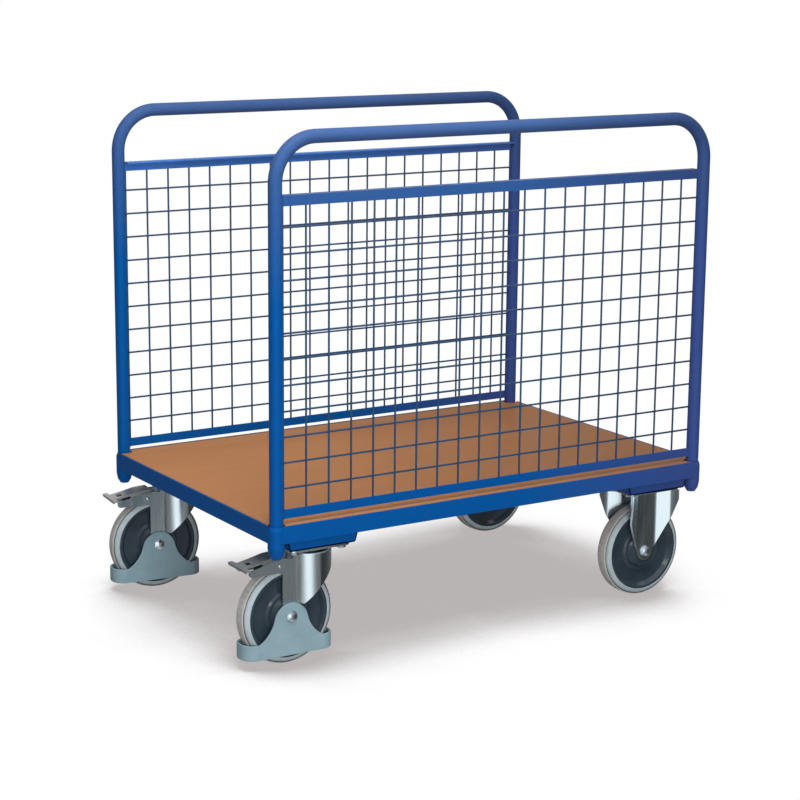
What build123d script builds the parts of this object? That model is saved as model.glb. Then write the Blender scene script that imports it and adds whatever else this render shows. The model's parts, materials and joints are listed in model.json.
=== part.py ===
from build123d import *
import math
import os

# Mesh-sided platform trolley, in millimetres.
# +X is the front end with the fixed castors, -X the rear end with the braked swivel castors,
# -Y is the right side, +Z is up and z = 0 is the floor.
# The origin lies on the floor under the middle of the overall box.

# Load bed
post_spacing_x = 1024.0
post_spacing_y = 683.0
channel_drop = 21.0
frame_height = 35.0
frame_flange = 4.0
frame_web = 4.0
frame_ledge = 31.0
frame_setback = 0.3
deck_thickness = 15.0
deck_gap = 0.5
weld_gap = 0.05

# Corner sockets
socket_wall = 3.2
socket_clearance = 0.3
socket_below_frame = 33.0
socket_taper = 22.0
socket_tip_bore = 11.6

# Side walls
wall_height = 1045.5
tube_d = 27.0
tube_wall = 2.0
bend_r = 85.0
handle_gap = 93.5
rail_leg = 20.0
rail_thickness = 3.0
bottom_rail_height = 18.0
rail_over_deck = 10.5
wire_d = 4.0
mesh_pitch = 50.0

# Cross channels that carry the castors
castor_inset_x = 99.0
castor_inset_y = 53.5
channel_floor = 146.5
channel_side_lean = 16.5
channel_sheet = 4.0
channel_end_gap = 5.5

# Castor plates and their bolts
plate_length = 135.0
plate_width = 110.0
plate_corner_r = 12.0
swivel_plate_thickness = 6.0
fixed_plate_thickness = 4.0
bolt_spacing_x = 105.0
swivel_bolt_spacing_y = 80.0
fixed_bolt_spacing_y = 50.0
bolt_d = 10.0
bolt_hole_clearance = 0.5
bolt_across_flats = 17.0
bolt_head_height = 6.4
nut_height = 8.0
bolt_overrun = 5.0
thread_clearance = 0.02

# Wheels
wheel_d = 200.0
head_over_wheel = 40.0
tread_width = 26.0
tyre_width = 41.0
tyre_depth = 14.0
rim_width = 40.0
rim_depth = 6.0
rim_slope = 6.0
web_width = 22.0
ridge_inner_d = 76.0
ridge_outer_d = 88.0
ridge_width = 30.0
hub_d = 64.0
hub_width = 43.0
bearing_d = 28.0
bearing_width = 44.0
axle_tube_d = 16.0
axle_d = 12.0
axle_across_flats = 19.0
axle_head_height = 7.5
axle_nut_height = 10.0
axle_overrun = 4.0
running_clearance = 0.05
press_clearance = 0.02

# Castor forks
fork_sheet = 4.0
fork_gap = 45.0
fork_leg_end_r = 17.0
axle_tube_end_gap = 0.05

# Swivel head and fork
trail = 53.0
race_height = 8.0
race_inner_d = 66.0
race_outer_d = 84.0
race_gap = 0.3
king_pin_d = 16.0
king_pin_collar_d = 30.0
king_pin_collar_height = 6.5
fork_head_d = 94.0
skirt_drop = 26.0
knee_rise = 15.0
arm_reach = 143.0
arm_drop = 36.0
arm_corner_r = 8.0
arm_root_drop = 10.0
arm_root_reach = 82.0
arm_tip_drop = 24.0
left_rest_turn = -6.0
right_rest_turn = 0.0

# Brake pedal and shoe
pedal_pin_reach = 76.0
pedal_pin_drop = 22.0
pedal_pin_d = 6.0
pedal_pin_proud = 1.0
pedal_side_gap = 1.5
pedal_sheet = 3.0
pedal_front_reach = 66.0
pedal_brow_reach = 92.0
pedal_bend_reach = 117.0
pedal_stem_reach = 147.0
pedal_reach = 156.0
pedal_front_drop = 3.0
pedal_brow_drop = 5.0
pedal_bend_drop = 11.0
pedal_stem_drop = 17.0
pedal_lip_drop = 18.0
pedal_lip_width = 78.0
pedal_lug_r = 5.0
pedal_window_length = 12.0
pedal_window_width = 20.0
pedal_press_angle = 8.0
shoe_start_reach = 96.0
shoe_end_reach = 112.0
shoe_width = 30.0
shoe_gap = 0.4

# Foot guard
guard_gap = 0.5
guard_wall = 4.0
guard_end_gap = 8.0
guard_corner_r = 27.0
guard_bottom = 21.0
guard_band_top = 52.0
guard_plate_rise = 28.0
guard_shoulder_drop = 2.0
guard_shoulder_half = 36.5
guard_flank_drop = 25.0
guard_flank_half = 46.0
guard_foot_half = 71.0
guard_clearance = 1.0

# Fixed fork
fixed_flat_half = 25.0
fixed_ramp_reach = 52.5
fixed_ramp_spread = 43.0
fixed_wing_reach = 60.5
fixed_wing_spread = 59.0
fixed_wing_bend_r = 12.0
fixed_wing_drop = 22.0
fixed_shoulder_half = 52.5
fixed_shoulder_drop = 67.0
fixed_leg_end_r = 20.0

# Places that follow from the sizes above
post_x = post_spacing_x / 2
post_y = post_spacing_y / 2
castor_height = wheel_d + head_over_wheel
frame_bottom = castor_height + channel_drop
bed_top = frame_bottom + frame_height
deck_bottom = bed_top - deck_thickness
web_bottom = deck_bottom - frame_web
socket_bore_r = tube_d / 2 + socket_clearance
socket_r = socket_bore_r + socket_wall
socket_bottom = frame_bottom - socket_below_frame
post_foot = socket_bottom + socket_taper
frame_x = post_x + socket_r - frame_setback
frame_y = post_y + socket_r - frame_setback
flange_x = frame_x - frame_flange
flange_y = frame_y - frame_flange
ledge_x = flange_x - frame_ledge
ledge_y = flange_y - frame_ledge
castor_x = post_x - castor_inset_x
castor_y = post_y - castor_inset_y
wheel_r = wheel_d / 2
core_r = wheel_r - tyre_depth
leg_inner = fork_gap / 2
leg_outer = leg_inner + fork_sheet
head_top = castor_height - swivel_plate_thickness - race_height
head_r = fork_head_d / 2
axle_hole_r = axle_d / 2 + running_clearance
pin_hole_r = pedal_pin_d / 2 + running_clearance
pin_z = head_top - pedal_pin_drop
guard_inner = leg_outer + guard_gap
guard_outer = guard_inner + guard_wall
guard_chord = math.sqrt(wheel_r**2 - (wheel_r - guard_band_top) ** 2)
guard_length = 2 * (guard_chord + guard_end_gap + guard_wall)

# The pedal of the turned left castor is the rearmost point, the front sockets are the foremost
turn = math.radians(abs(left_rest_turn))
rear_reach = castor_x + pedal_reach * math.cos(turn) + pedal_lip_width / 2 * math.sin(turn)
front_reach = post_x + socket_r
bed_x = (rear_reach - front_reach) / 2

sides = {"right": -1, "left": 1}
ends = {"rear": -1, "front": 1}
rest_turns = {"right": right_rest_turn, "left": left_rest_turn}
nodes = {}


# Small helpers for blocks, rods, hexagons and sheets cut to an outline
def block(x, y, z):
    size = [high - low for low, high in (x, y, z)]
    middle = [(high + low) / 2 for low, high in (x, y, z)]
    return Pos(*middle) * Box(*size)


def rod_x(radius, start, end, y, z):
    return Pos((start + end) / 2, y, z) * Rot(0, 90, 0) * Cylinder(radius, end - start)


def rod_y(radius, start, end, x, z):
    return Pos(x, (start + end) / 2, z) * Rot(90, 0, 0) * Cylinder(radius, end - start)


def rod_z(radius, start, end, x=0.0, y=0.0):
    return Pos(x, y, (start + end) / 2) * Cylinder(radius, end - start)


def hexagon(across_flats, height):
    return extrude(RegularPolygon(across_flats / 2, 6, major_radius=False), height)


def hexagon_z(across_flats, start, end, x, y):
    return Pos(x, y, start) * hexagon(across_flats, end - start)


def hexagon_y(across_flats, start, end, x, z):
    return Pos(x, end, z) * Rot(90, 0, 0) * hexagon(across_flats, end - start)


def outline(points):
    return make_face(Polyline(*points, close=True))


# An outline drawn as (x, z) becomes a plate between two places along Y
def upright_plate(face, start, end):
    return Pos(0, end, 0) * Rot(90, 0, 0) * extrude(face, end - start)


def mirrored_points(points):
    return points + [(-x, y) for x, y in reversed(points)]


def add_node(name, shapes):
    shapes = shapes if isinstance(shapes, list) else [shapes]
    placed = [Pos(bed_x, 0, 0) * shape for shape in shapes]
    nodes[name] = placed[0] if len(placed) == 1 else Compound(placed)


post_places = [(end * post_x, side * post_y) for end in (-1, 1) for side in (-1, 1)]


def socket_cuts(radius):
    return [rod_z(radius, 0, bed_top + tube_d, x, y) for x, y in post_places]


# Deck board, notched round the sockets
def deck_board():
    half_x = flange_x - deck_gap
    half_y = flange_y - deck_gap
    board = block((-half_x, half_x), (-half_y, half_y), (deck_bottom, bed_top))
    return board - socket_cuts(socket_r + deck_gap)


# Rolled frame rails: an upright flange outside and a ledge inside that the board lies on
def long_rail(side):
    flange = block(
        (-post_x, post_x),
        sorted((side * flange_y, side * frame_y)),
        (frame_bottom, bed_top),
    )
    ledge = block(
        (-ledge_x, ledge_x),
        sorted((side * ledge_y, side * flange_y)),
        (web_bottom, deck_bottom),
    )
    return flange + ledge - socket_cuts(socket_r + weld_gap)


def end_rail(end):
    flange = block(
        sorted((end * flange_x, end * frame_x)),
        (-post_y, post_y),
        (frame_bottom, bed_top),
    )
    ledge = block(
        sorted((end * ledge_x, end * flange_x)),
        (-post_y, post_y),
        (web_bottom, deck_bottom),
    )
    return flange + ledge - socket_cuts(socket_r + weld_gap)


# Corner socket: a sleeve with a swaged lower end that the post stands in
def corner_socket(x, y):
    tip_bore_r = socket_tip_bore / 2
    section = outline(
        [
            (socket_bore_r, bed_top),
            (socket_r, bed_top),
            (socket_r, post_foot),
            (tip_bore_r + socket_wall, socket_bottom),
            (tip_bore_r, socket_bottom),
            (socket_bore_r, post_foot),
        ]
    )
    return Pos(x, y, 0) * Rot(90, 0, 0) * revolve(section, Axis.Y)


# Cross channel: a folded tray with sloping sides and closed ends, welded under the ledges
def castor_channel(end):
    depth = web_bottom - castor_height
    half_floor = channel_floor / 2
    half_y = flange_y - channel_end_gap
    lean = math.radians(channel_side_lean)
    half_top = half_floor + depth * math.tan(lean)
    shell = outline(mirrored_points([(half_floor, castor_height), (half_top, web_bottom)]))
    level_wall = channel_sheet / math.cos(lean)
    half_inner = half_floor + channel_sheet * math.tan(lean) - level_wall
    hollow = outline(
        mirrored_points(
            [
                (half_inner, castor_height + channel_sheet),
                (half_top - level_wall, web_bottom),
            ]
        )
    )
    inner_y = half_y - channel_sheet
    tray = upright_plate(shell, -half_y, half_y) - upright_plate(hollow, -inner_y, inner_y)
    tray = Pos(end * castor_x, 0, 0) * tray
    hole_r = bolt_d / 2 + bolt_hole_clearance
    holes = [rod_z(hole_r, 0, bed_top, x, y) for x, y in castor_bolt_places(end)]
    return tray - holes - socket_cuts(socket_r + weld_gap)


def plate_bolt_places(end):
    spacing_y = swivel_bolt_spacing_y if end < 0 else fixed_bolt_spacing_y
    return [(x * bolt_spacing_x / 2, y * spacing_y / 2) for x in (-1, 1) for y in (-1, 1)]


def castor_bolt_places(end):
    return [
        (end * castor_x + x, side * castor_y + y)
        for side in (-1, 1)
        for x, y in plate_bolt_places(end)
    ]


def castor_plate(end, thickness):
    plate = extrude(RectangleRounded(plate_length, plate_width, plate_corner_r), thickness)
    plate = Pos(0, 0, castor_height - thickness) * plate
    hole_r = bolt_d / 2 + bolt_hole_clearance
    return plate - [rod_z(hole_r, 0, bed_top, x, y) for x, y in plate_bolt_places(end)]


def castor_bolt(x, y, plate_thickness):
    seat = castor_height - plate_thickness
    tip = castor_height + channel_sheet + nut_height + bolt_overrun
    head = hexagon_z(bolt_across_flats, seat - bolt_head_height, seat, x, y)
    return head + rod_z(bolt_d / 2, seat - bolt_head_height / 2, tip, x, y)


def castor_nut(x, y):
    seat = castor_height + channel_sheet
    nut = hexagon_z(bolt_across_flats, seat, seat + nut_height, x, y)
    return nut - rod_z(bolt_d / 2 + thread_clearance, 0, bed_top, x, y)


# Side wall: hoop, rails and welded mesh
top_rail_top = wall_height - tube_d - handle_gap
bottom_rail_bottom = bed_top + rail_over_deck
bottom_rail_top = bottom_rail_bottom + bottom_rail_height
rail_half = post_x - tube_d / 2 - weld_gap
rail_outer = post_y + rail_thickness / 2
crosswire_inset = wire_d + weld_gap


def hoop(side):
    crown = wall_height - tube_d / 2
    path = FilletPolyline(
        (-post_x, post_foot),
        (-post_x, crown),
        (post_x, crown),
        (post_x, post_foot),
        radius=bend_r,
    )
    ring = Circle(tube_d / 2) - Circle(tube_d / 2 - tube_wall)
    tube = sweep(Plane(origin=path @ 0, z_dir=path % 0) * ring, path=path)
    return Pos(0, side * post_y, 0) * Rot(90, 0, 0) * tube


# Flat rail cut square between the posts, upright over their axes
def flat_rail(side, low, high):
    return block(
        (-rail_half, rail_half),
        sorted((side * (rail_outer - rail_thickness), side * rail_outer)),
        (low, high),
    )


# Angle rail: a flat rail with a level leg inward along its top
def angle_rail(side, low, high):
    level = block(
        (-rail_half, rail_half),
        sorted((side * (rail_outer - rail_leg), side * rail_outer)),
        (high - rail_thickness, high),
    )
    return flat_rail(side, low, high) + level


# Upright wires butted between the rails
def mesh_uprights(side):
    first_x = -post_x + tube_d / 2 + weld_gap + wire_d / 2
    count = int((post_x - tube_d / 2 - wire_d / 2 - first_x) / mesh_pitch) + 1
    start = bottom_rail_top + weld_gap
    end = top_rail_top - rail_leg - weld_gap
    return [
        rod_z(wire_d / 2, start, end, first_x + i * mesh_pitch, side * post_y)
        for i in range(count)
    ]


# Cross wires laid against the inner side of the uprights
def mesh_crosswires(side):
    low = bottom_rail_top
    high = top_rail_top - rail_leg
    count = int((high - low) / mesh_pitch)
    first_z = (low + high - (count - 1) * mesh_pitch) / 2
    post_reach = math.sqrt((tube_d / 2) ** 2 - (crosswire_inset - wire_d / 2) ** 2)
    half = post_x - post_reach - weld_gap
    return [
        rod_x(wire_d / 2, -half, half, side * (post_y - crosswire_inset), first_z + k * mesh_pitch)
        for k in range(count)
    ]


# Wheel pieces, turned about the Y axis through the origin
def tyre():
    seat_r = core_r + press_clearance
    section = outline(
        [
            (seat_r, -tyre_width / 2),
            (wheel_r, -tread_width / 2),
            (wheel_r, tread_width / 2),
            (seat_r, tyre_width / 2),
        ]
    )
    return revolve(section, Axis.Y)


def wheel_core():
    ridge_foot = (ridge_width - web_width) / 2
    half_section = [
        (bearing_d / 2 + press_clearance, hub_width / 2),
        (hub_d / 2, hub_width / 2),
        (ridge_inner_d / 2, web_width / 2),
        (ridge_inner_d / 2, ridge_width / 2),
        (ridge_outer_d / 2, ridge_width / 2),
        (ridge_outer_d / 2 + ridge_foot, web_width / 2),
        (core_r - rim_depth - rim_slope, web_width / 2),
        (core_r - rim_depth, rim_width / 2),
        (core_r, rim_width / 2),
    ]
    section = half_section + [(r, -y) for r, y in reversed(half_section)]
    return revolve(outline(section), Axis.Y)


def tube_y(outer_r, inner_r, half_length):
    wall = rod_y(outer_r, -half_length, half_length, 0, 0)
    return wall - rod_y(inner_r, -half_length, half_length, 0, 0)


def bearing():
    return tube_y(bearing_d / 2, axle_tube_d / 2 + running_clearance, bearing_width / 2)


def axle_tube():
    return tube_y(axle_tube_d / 2, axle_hole_r, leg_inner - axle_tube_end_gap)


# Axle bolt with its head on the right and its nut on the left, clamping at grip either side
def axle_bolt(grip):
    head = hexagon_y(axle_across_flats, -grip - axle_head_height, -grip, 0, 0)
    tip = grip + axle_nut_height + axle_overrun
    return head + rod_y(axle_d / 2, -grip - axle_head_height / 2, tip, 0, 0)


def axle_nut(grip):
    nut = hexagon_y(axle_across_flats, grip, grip + axle_nut_height, 0, 0)
    hole = rod_y(axle_d / 2 + thread_clearance, grip, grip + axle_nut_height, 0, 0)
    return nut - hole


# Swivel castor pieces, drawn about the swivel axis with the wheel trailing to -X
def swivel_plate():
    pin_hole = rod_z(king_pin_d / 2 + press_clearance, 0, bed_top)
    return castor_plate(ends["rear"], swivel_plate_thickness) - pin_hole


def ball_race():
    low = head_top + race_gap
    high = castor_height - swivel_plate_thickness
    return rod_z(race_outer_d / 2, low, high) - rod_z(race_inner_d / 2, low, high)


def king_pin():
    collar_top = head_top - fork_sheet - race_gap
    collar = rod_z(king_pin_collar_d / 2, collar_top - king_pin_collar_height, collar_top)
    return collar + rod_z(king_pin_d / 2, collar_top - king_pin_collar_height / 2, castor_height)


# Side view of the fork: skirt in front, leg down to the axle, two arms behind for the pedal
def swivel_fork_outline():
    leg_front = -trail + fork_leg_end_r
    leg_back = -trail - fork_leg_end_r
    arm_bottom = head_top - arm_drop
    body = outline(
        [
            (head_r, head_top),
            (head_r, head_top - skirt_drop),
            (leg_front, wheel_r + knee_rise),
            (leg_front, wheel_r),
            (leg_back, wheel_r),
            (leg_back, arm_bottom),
            (-arm_reach, arm_bottom),
            (-arm_reach, head_top - arm_tip_drop),
            (-arm_root_reach, head_top - arm_root_drop),
            (-head_r, head_top - arm_root_drop),
            (-head_r, head_top),
        ]
    )
    inner_corner = body.vertices().sort_by_distance((leg_back, arm_bottom, 0))[0]
    return fillet(inner_corner, arm_corner_r) + Pos(-trail, wheel_r) * Circle(fork_leg_end_r)


def swivel_fork():
    reach = arm_reach + head_r
    outer_plan = Circle(head_r) + Pos(-reach / 2, 0) * Rectangle(reach, 2 * leg_outer)
    inner_plan = Circle(head_r - fork_sheet) + Pos(-reach / 2, 0) * Rectangle(reach, fork_gap)
    shell = extrude(outer_plan, head_top) - extrude(inner_plan, head_top - fork_sheet)
    fork = shell & upright_plate(swivel_fork_outline(), -head_r, head_r)
    guard_room = upright_plate(
        offset(guard_outline(), guard_clearance), leg_outer, head_r + fork_sheet
    )
    cuts = [
        guard_room,
        mirror(guard_room, Plane.XZ),
        rod_z(king_pin_d / 2 + running_clearance, 0, castor_height),
        rod_y(axle_hole_r, -head_r, head_r, -trail, wheel_r),
        rod_y(pin_hole_r, -head_r, head_r, -pedal_pin_reach, pin_z),
    ]
    return fork - cuts


def pedal_pin():
    half = leg_outer + pedal_pin_proud
    return rod_y(pedal_pin_d / 2, -half, half, -pedal_pin_reach, pin_z)


# Foot guard: a band round the wheel near the floor, carried by two side plates on the axle bolt
def guard_outline():
    with BuildLine() as edge:
        Line((guard_foot_half, guard_bottom), (guard_foot_half, guard_band_top))
        flank = (guard_flank_half, wheel_r - guard_flank_drop)
        shoulder = (guard_shoulder_half, wheel_r - guard_shoulder_drop)
        crest = (0, wheel_r + guard_plate_rise)
        ThreePointArc((guard_foot_half, guard_band_top), flank, shoulder)
        ThreePointArc(shoulder, crest, (-shoulder[0], shoulder[1]))
        ThreePointArc(
            (-shoulder[0], shoulder[1]), (-flank[0], flank[1]), (-guard_foot_half, guard_band_top)
        )
        Line((-guard_foot_half, guard_band_top), (-guard_foot_half, guard_bottom))
        Line((-guard_foot_half, guard_bottom), (guard_foot_half, guard_bottom))
    return Pos(-trail, 0) * make_face(edge.line)


def foot_guard():
    inner_length = guard_length - 2 * guard_wall
    band_plan = RectangleRounded(guard_length, 2 * guard_outer, guard_corner_r)
    band_plan -= RectangleRounded(inner_length, 2 * guard_inner, guard_corner_r - guard_wall)
    band = Pos(-trail, 0, guard_bottom) * extrude(band_plan, guard_band_top - guard_bottom)
    plate = upright_plate(guard_outline(), guard_inner, guard_outer)
    guard = band + plate + mirror(plate, Plane.XZ)
    return guard - rod_y(axle_hole_r, -guard_outer, guard_outer, -trail, wheel_r)


# Brake pedal: a bent sheet stem with two lugs on the pin and a wide tread lip behind
def pedal_crown():
    return [
        (-pedal_front_reach, head_top - pedal_front_drop),
        (-pedal_brow_reach, head_top - pedal_brow_drop),
        (-pedal_bend_reach, head_top - pedal_bend_drop),
        (-pedal_stem_reach, head_top - pedal_stem_drop),
    ]


def lowered(points):
    return [(x, z - pedal_sheet) for x, z in points]


def brake_pedal():
    half = leg_inner - pedal_side_gap
    crown = pedal_crown()
    stem = upright_plate(outline(crown + lowered(crown)[::-1]), -half, half)
    lip_crown = [crown[-1], (-pedal_reach, head_top - pedal_lip_drop)]
    lip_half = pedal_lip_width / 2
    lip = upright_plate(outline(lip_crown + lowered(lip_crown)[::-1]), -lip_half, lip_half)
    under = lowered(crown)
    lug_face = outline(
        [
            under[0],
            under[1],
            (-pedal_pin_reach - pedal_lug_r, pin_z),
            (-pedal_pin_reach + pedal_lug_r, pin_z),
        ]
    )
    lug_face += Pos(-pedal_pin_reach, pin_z) * Circle(pedal_lug_r)
    lug = upright_plate(lug_face, half - pedal_sheet, half)
    window_x = -(pedal_bend_reach + pedal_stem_reach) / 2
    window = block(
        (window_x - pedal_window_length / 2, window_x + pedal_window_length / 2),
        (-pedal_window_width / 2, pedal_window_width / 2),
        (wheel_r, castor_height),
    )
    pin_hole = rod_y(pin_hole_r, -half, half, -pedal_pin_reach, pin_z)
    return stem + lip + lug + mirror(lug, Plane.XZ) - window - pin_hole


# Brake shoe: its face is the wheel's round, seen from the pressed pedal
def brake_shoe():
    brow, bend = lowered(pedal_crown())[1:3]
    fall = (brow[1] - bend[1]) / (brow[0] - bend[0])

    def underside(reach):
        return brow[1] + (-reach - brow[0]) * fall

    body = outline(
        [
            (-shoe_start_reach, underside(shoe_start_reach)),
            (-shoe_end_reach, underside(shoe_end_reach)),
            (-shoe_end_reach, wheel_r),
            (-shoe_start_reach, wheel_r),
        ]
    )
    press = math.radians(pedal_press_angle)
    axle_from_pin = (pedal_pin_reach - trail, wheel_r - pin_z)
    pressed_x = axle_from_pin[0] * math.cos(press) + axle_from_pin[1] * math.sin(press)
    pressed_z = axle_from_pin[1] * math.cos(press) - axle_from_pin[0] * math.sin(press)
    wheel_room = Pos(-pedal_pin_reach + pressed_x, pin_z + pressed_z) * Circle(wheel_r + shoe_gap)
    return upright_plate(body - wheel_room, -shoe_width / 2, shoe_width / 2)


# Fixed fork: top plate and two legs whose edges flare outward in two bends
def flared_leg_plan():
    half_line = [
        (-fixed_wing_reach, fixed_wing_spread),
        (-fixed_ramp_reach, fixed_ramp_spread),
        (-fixed_flat_half, leg_outer),
    ]
    line = FilletPolyline(*mirrored_points(half_line), radius=fixed_wing_bend_r)
    return make_face(offset(line, fork_sheet, side=Side.RIGHT).edges())


def fixed_fork():
    plate_bottom = castor_height - fixed_plate_thickness
    wing_half = fixed_wing_reach + fork_sheet
    profile = outline(
        mirrored_points(
            [
                (fixed_leg_end_r, wheel_r),
                (fixed_shoulder_half, plate_bottom - fixed_shoulder_drop),
                (wing_half, plate_bottom - fixed_wing_drop),
                (wing_half, plate_bottom),
            ]
        )
    )
    profile += Pos(0, wheel_r) * Circle(fixed_leg_end_r)
    leg = extrude(flared_leg_plan(), plate_bottom)
    leg &= upright_plate(profile, 0, plate_width)
    leg -= rod_y(axle_hole_r, 0, plate_width, 0, wheel_r)
    return castor_plate(ends["front"], fixed_plate_thickness) + leg + mirror(leg, Plane.XZ)


# Load bed
add_node("deck_board", deck_board())
for side_name, side in sides.items():
    add_node(f"{side_name}_frame_rail", long_rail(side))
for end_name, end in ends.items():
    add_node(f"{end_name}_frame_rail", end_rail(end))
    add_node(f"{end_name}_castor_channel", castor_channel(end))
add_node("corner_sockets", [corner_socket(x, y) for x, y in post_places])

# Castor bolts and nuts
plate_thicknesses = {"rear": swivel_plate_thickness, "front": fixed_plate_thickness}
castor_bolts = []
castor_nuts = []
for end_name, end in ends.items():
    for x, y in castor_bolt_places(end):
        castor_bolts.append(castor_bolt(x, y, plate_thicknesses[end_name]))
        castor_nuts.append(castor_nut(x, y))
add_node("castor_bolts", castor_bolts)
add_node("castor_nuts", castor_nuts)

# Side walls
for side_name, side in sides.items():
    add_node(f"{side_name}_hoop", hoop(side))
    add_node(f"{side_name}_bottom_rail", flat_rail(side, bottom_rail_bottom, bottom_rail_top))
    add_node(f"{side_name}_top_rail", angle_rail(side, top_rail_top - rail_leg, top_rail_top))
    add_node(f"{side_name}_mesh_uprights", mesh_uprights(side))
    add_node(f"{side_name}_mesh_crosswires", mesh_crosswires(side))

# Swivel castors at the rear
swivel_pieces = {
    "swivel_plate": swivel_plate(),
    "ball_race": ball_race(),
    "king_pin": king_pin(),
    "swivel_fork": swivel_fork(),
    "foot_guard": foot_guard(),
    "pedal_pin": pedal_pin(),
    "brake_pedal": brake_pedal(),
    "brake_shoe": brake_shoe(),
}
fixed_to_bed = ("swivel_plate", "ball_race", "king_pin")
at_axle = Pos(-trail, 0, wheel_r)
for side_name, side in sides.items():
    on_bed = Pos(-castor_x, side * castor_y, 0)
    turned = on_bed * Rot(0, 0, rest_turns[side_name])
    for piece_name, piece in swivel_pieces.items():
        place = on_bed if piece_name in fixed_to_bed else turned
        add_node(f"{side_name}_{piece_name}", place * piece)
    add_node(f"{side_name}_swivel_axle_bolt", turned * at_axle * axle_bolt(guard_outer))
    add_node(f"{side_name}_swivel_axle_nut", turned * at_axle * axle_nut(guard_outer))
    add_node(f"{side_name}_swivel_axle_tube", turned * at_axle * axle_tube())
    add_node(f"rear_{side_name}_tyre", turned * at_axle * tyre())
    add_node(f"rear_{side_name}_wheel_core", turned * at_axle * wheel_core())
    add_node(f"rear_{side_name}_bearing", turned * at_axle * bearing())

# Fixed castors at the front
fixed_axles = []
for side_name, side in sides.items():
    on_bed = Pos(castor_x, side * castor_y, 0)
    axle = on_bed * Pos(0, 0, wheel_r)
    fixed_axles.append(axle)
    add_node(f"{side_name}_fixed_fork", on_bed * fixed_fork())
    add_node(f"front_{side_name}_tyre", axle * tyre())
    add_node(f"front_{side_name}_wheel_core", axle * wheel_core())
    add_node(f"front_{side_name}_bearing", axle * bearing())
add_node("fixed_axle_bolts", [axle * axle_bolt(leg_outer) for axle in fixed_axles])
add_node("fixed_axle_nuts", [axle * axle_nut(leg_outer) for axle in fixed_axles])
add_node("fixed_axle_tubes", [axle * axle_tube() for axle in fixed_axles])

os.makedirs("parts", exist_ok=True)
for name, shape in nodes.items():
    export_step(shape, f"parts/{name}.step")
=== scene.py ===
import json
import math
from bisect import bisect_right

import bmesh
import bpy
from mathutils import Matrix, Vector


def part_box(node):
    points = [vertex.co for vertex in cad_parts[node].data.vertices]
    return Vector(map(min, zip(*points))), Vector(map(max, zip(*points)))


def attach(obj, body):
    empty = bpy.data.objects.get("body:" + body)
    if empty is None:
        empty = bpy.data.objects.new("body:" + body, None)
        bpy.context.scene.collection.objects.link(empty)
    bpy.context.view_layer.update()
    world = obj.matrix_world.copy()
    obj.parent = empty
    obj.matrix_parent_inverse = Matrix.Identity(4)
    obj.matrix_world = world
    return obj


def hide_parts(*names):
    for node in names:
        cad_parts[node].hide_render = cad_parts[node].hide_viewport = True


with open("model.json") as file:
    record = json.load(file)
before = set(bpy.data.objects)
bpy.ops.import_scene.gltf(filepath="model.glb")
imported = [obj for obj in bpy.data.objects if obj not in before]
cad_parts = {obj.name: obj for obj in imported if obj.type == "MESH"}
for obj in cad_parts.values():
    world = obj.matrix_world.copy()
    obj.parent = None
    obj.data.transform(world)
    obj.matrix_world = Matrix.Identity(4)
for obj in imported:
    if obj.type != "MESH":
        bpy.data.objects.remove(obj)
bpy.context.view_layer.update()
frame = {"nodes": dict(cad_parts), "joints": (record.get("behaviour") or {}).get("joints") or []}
mm = 0.001

# Deck board: a wood-based panel with a smooth brown film, sawn to fit inside the frame and notched
# round the four corner sockets. It lies loose on the ledges, its top flush with the frame's edge.
deck_low, deck_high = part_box("deck_board")
socket_low, socket_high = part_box("corner_sockets")
socket_r = 17.0 * mm
deck_notch_r = socket_r + 0.5 * mm
deck_edge_round = 0.7 * mm
post_x = {-1: socket_low.x + socket_r, 1: socket_high.x - socket_r}
post_y = {-1: socket_low.y + socket_r, 1: socket_high.y - socket_r}
film_dark = (163, 107, 64)
film_mid = (170, 114, 70)
film_pale = (176, 121, 77)
film_roughness = (0.42, 0.55)
# Painted shade: the share of its colour that the film keeps at the front end, and where the darkening
# runs
film_painted_shade = 0.66
film_painted_shade_run = (-0.2, 0.6)


def srgb(red, green, blue):
    shares = (value / 255 for value in (red, green, blue))
    linear = [s / 12.92 if s <= 0.04045 else ((s + 0.055) / 1.055) ** 2.4 for s in shares]
    return (*linear, 1.0)


# Gives a node its inputs: a socket is linked, any other value is set on the input itself
def feed(tree, node, inputs):
    for label, value in inputs.items():
        if isinstance(value, bpy.types.NodeSocket):
            tree.links.new(value, node.inputs[label])
        else:
            node.inputs[label].default_value = value


def outputs_of(tree, kind, inputs=None, **settings):
    node = tree.nodes.new(kind)
    for label, value in settings.items():
        setattr(node, label, value)
    feed(tree, node, inputs or {})
    return node.outputs


def new_finish(name):
    finish = bpy.data.materials.new(name)
    finish.use_nodes = True
    return finish, finish.node_tree, finish.node_tree.nodes["Principled BSDF"]


def grain(tree, scale, stretch=(1, 1, 1), detail=2.0):
    place = outputs_of(tree, "ShaderNodeTexCoord")["Object"]
    place = outputs_of(tree, "ShaderNodeMapping", {"Vector": place, "Scale": stretch})["Vector"]
    pattern = {"Vector": place, "Scale": scale, "Detail": detail}
    return outputs_of(tree, "ShaderNodeTexNoise", pattern)["Fac"]


def tinted(tree, factor, stops):
    ramp = tree.nodes.new("ShaderNodeValToRGB")
    tree.links.new(factor, ramp.inputs["Fac"])
    points = ramp.color_ramp.elements
    while len(points) < len(stops):
        points.new(0.5)
    for point, (place, colour) in zip(points, stops):
        point.position = place
        point.color = srgb(*colour)
    return ramp.outputs["Color"]


def object_axis(tree, letter):
    place = outputs_of(tree, "ShaderNodeTexCoord")["Object"]
    return outputs_of(tree, "ShaderNodeSeparateXYZ", {"Vector": place})[letter]


def levels(tree, factor, low, high, start=0.3, end=0.7):
    limits = {"Value": factor, "From Min": start, "From Max": end, "To Min": low, "To Max": high}
    return outputs_of(tree, "ShaderNodeMapRange", limits)["Result"]


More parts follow.
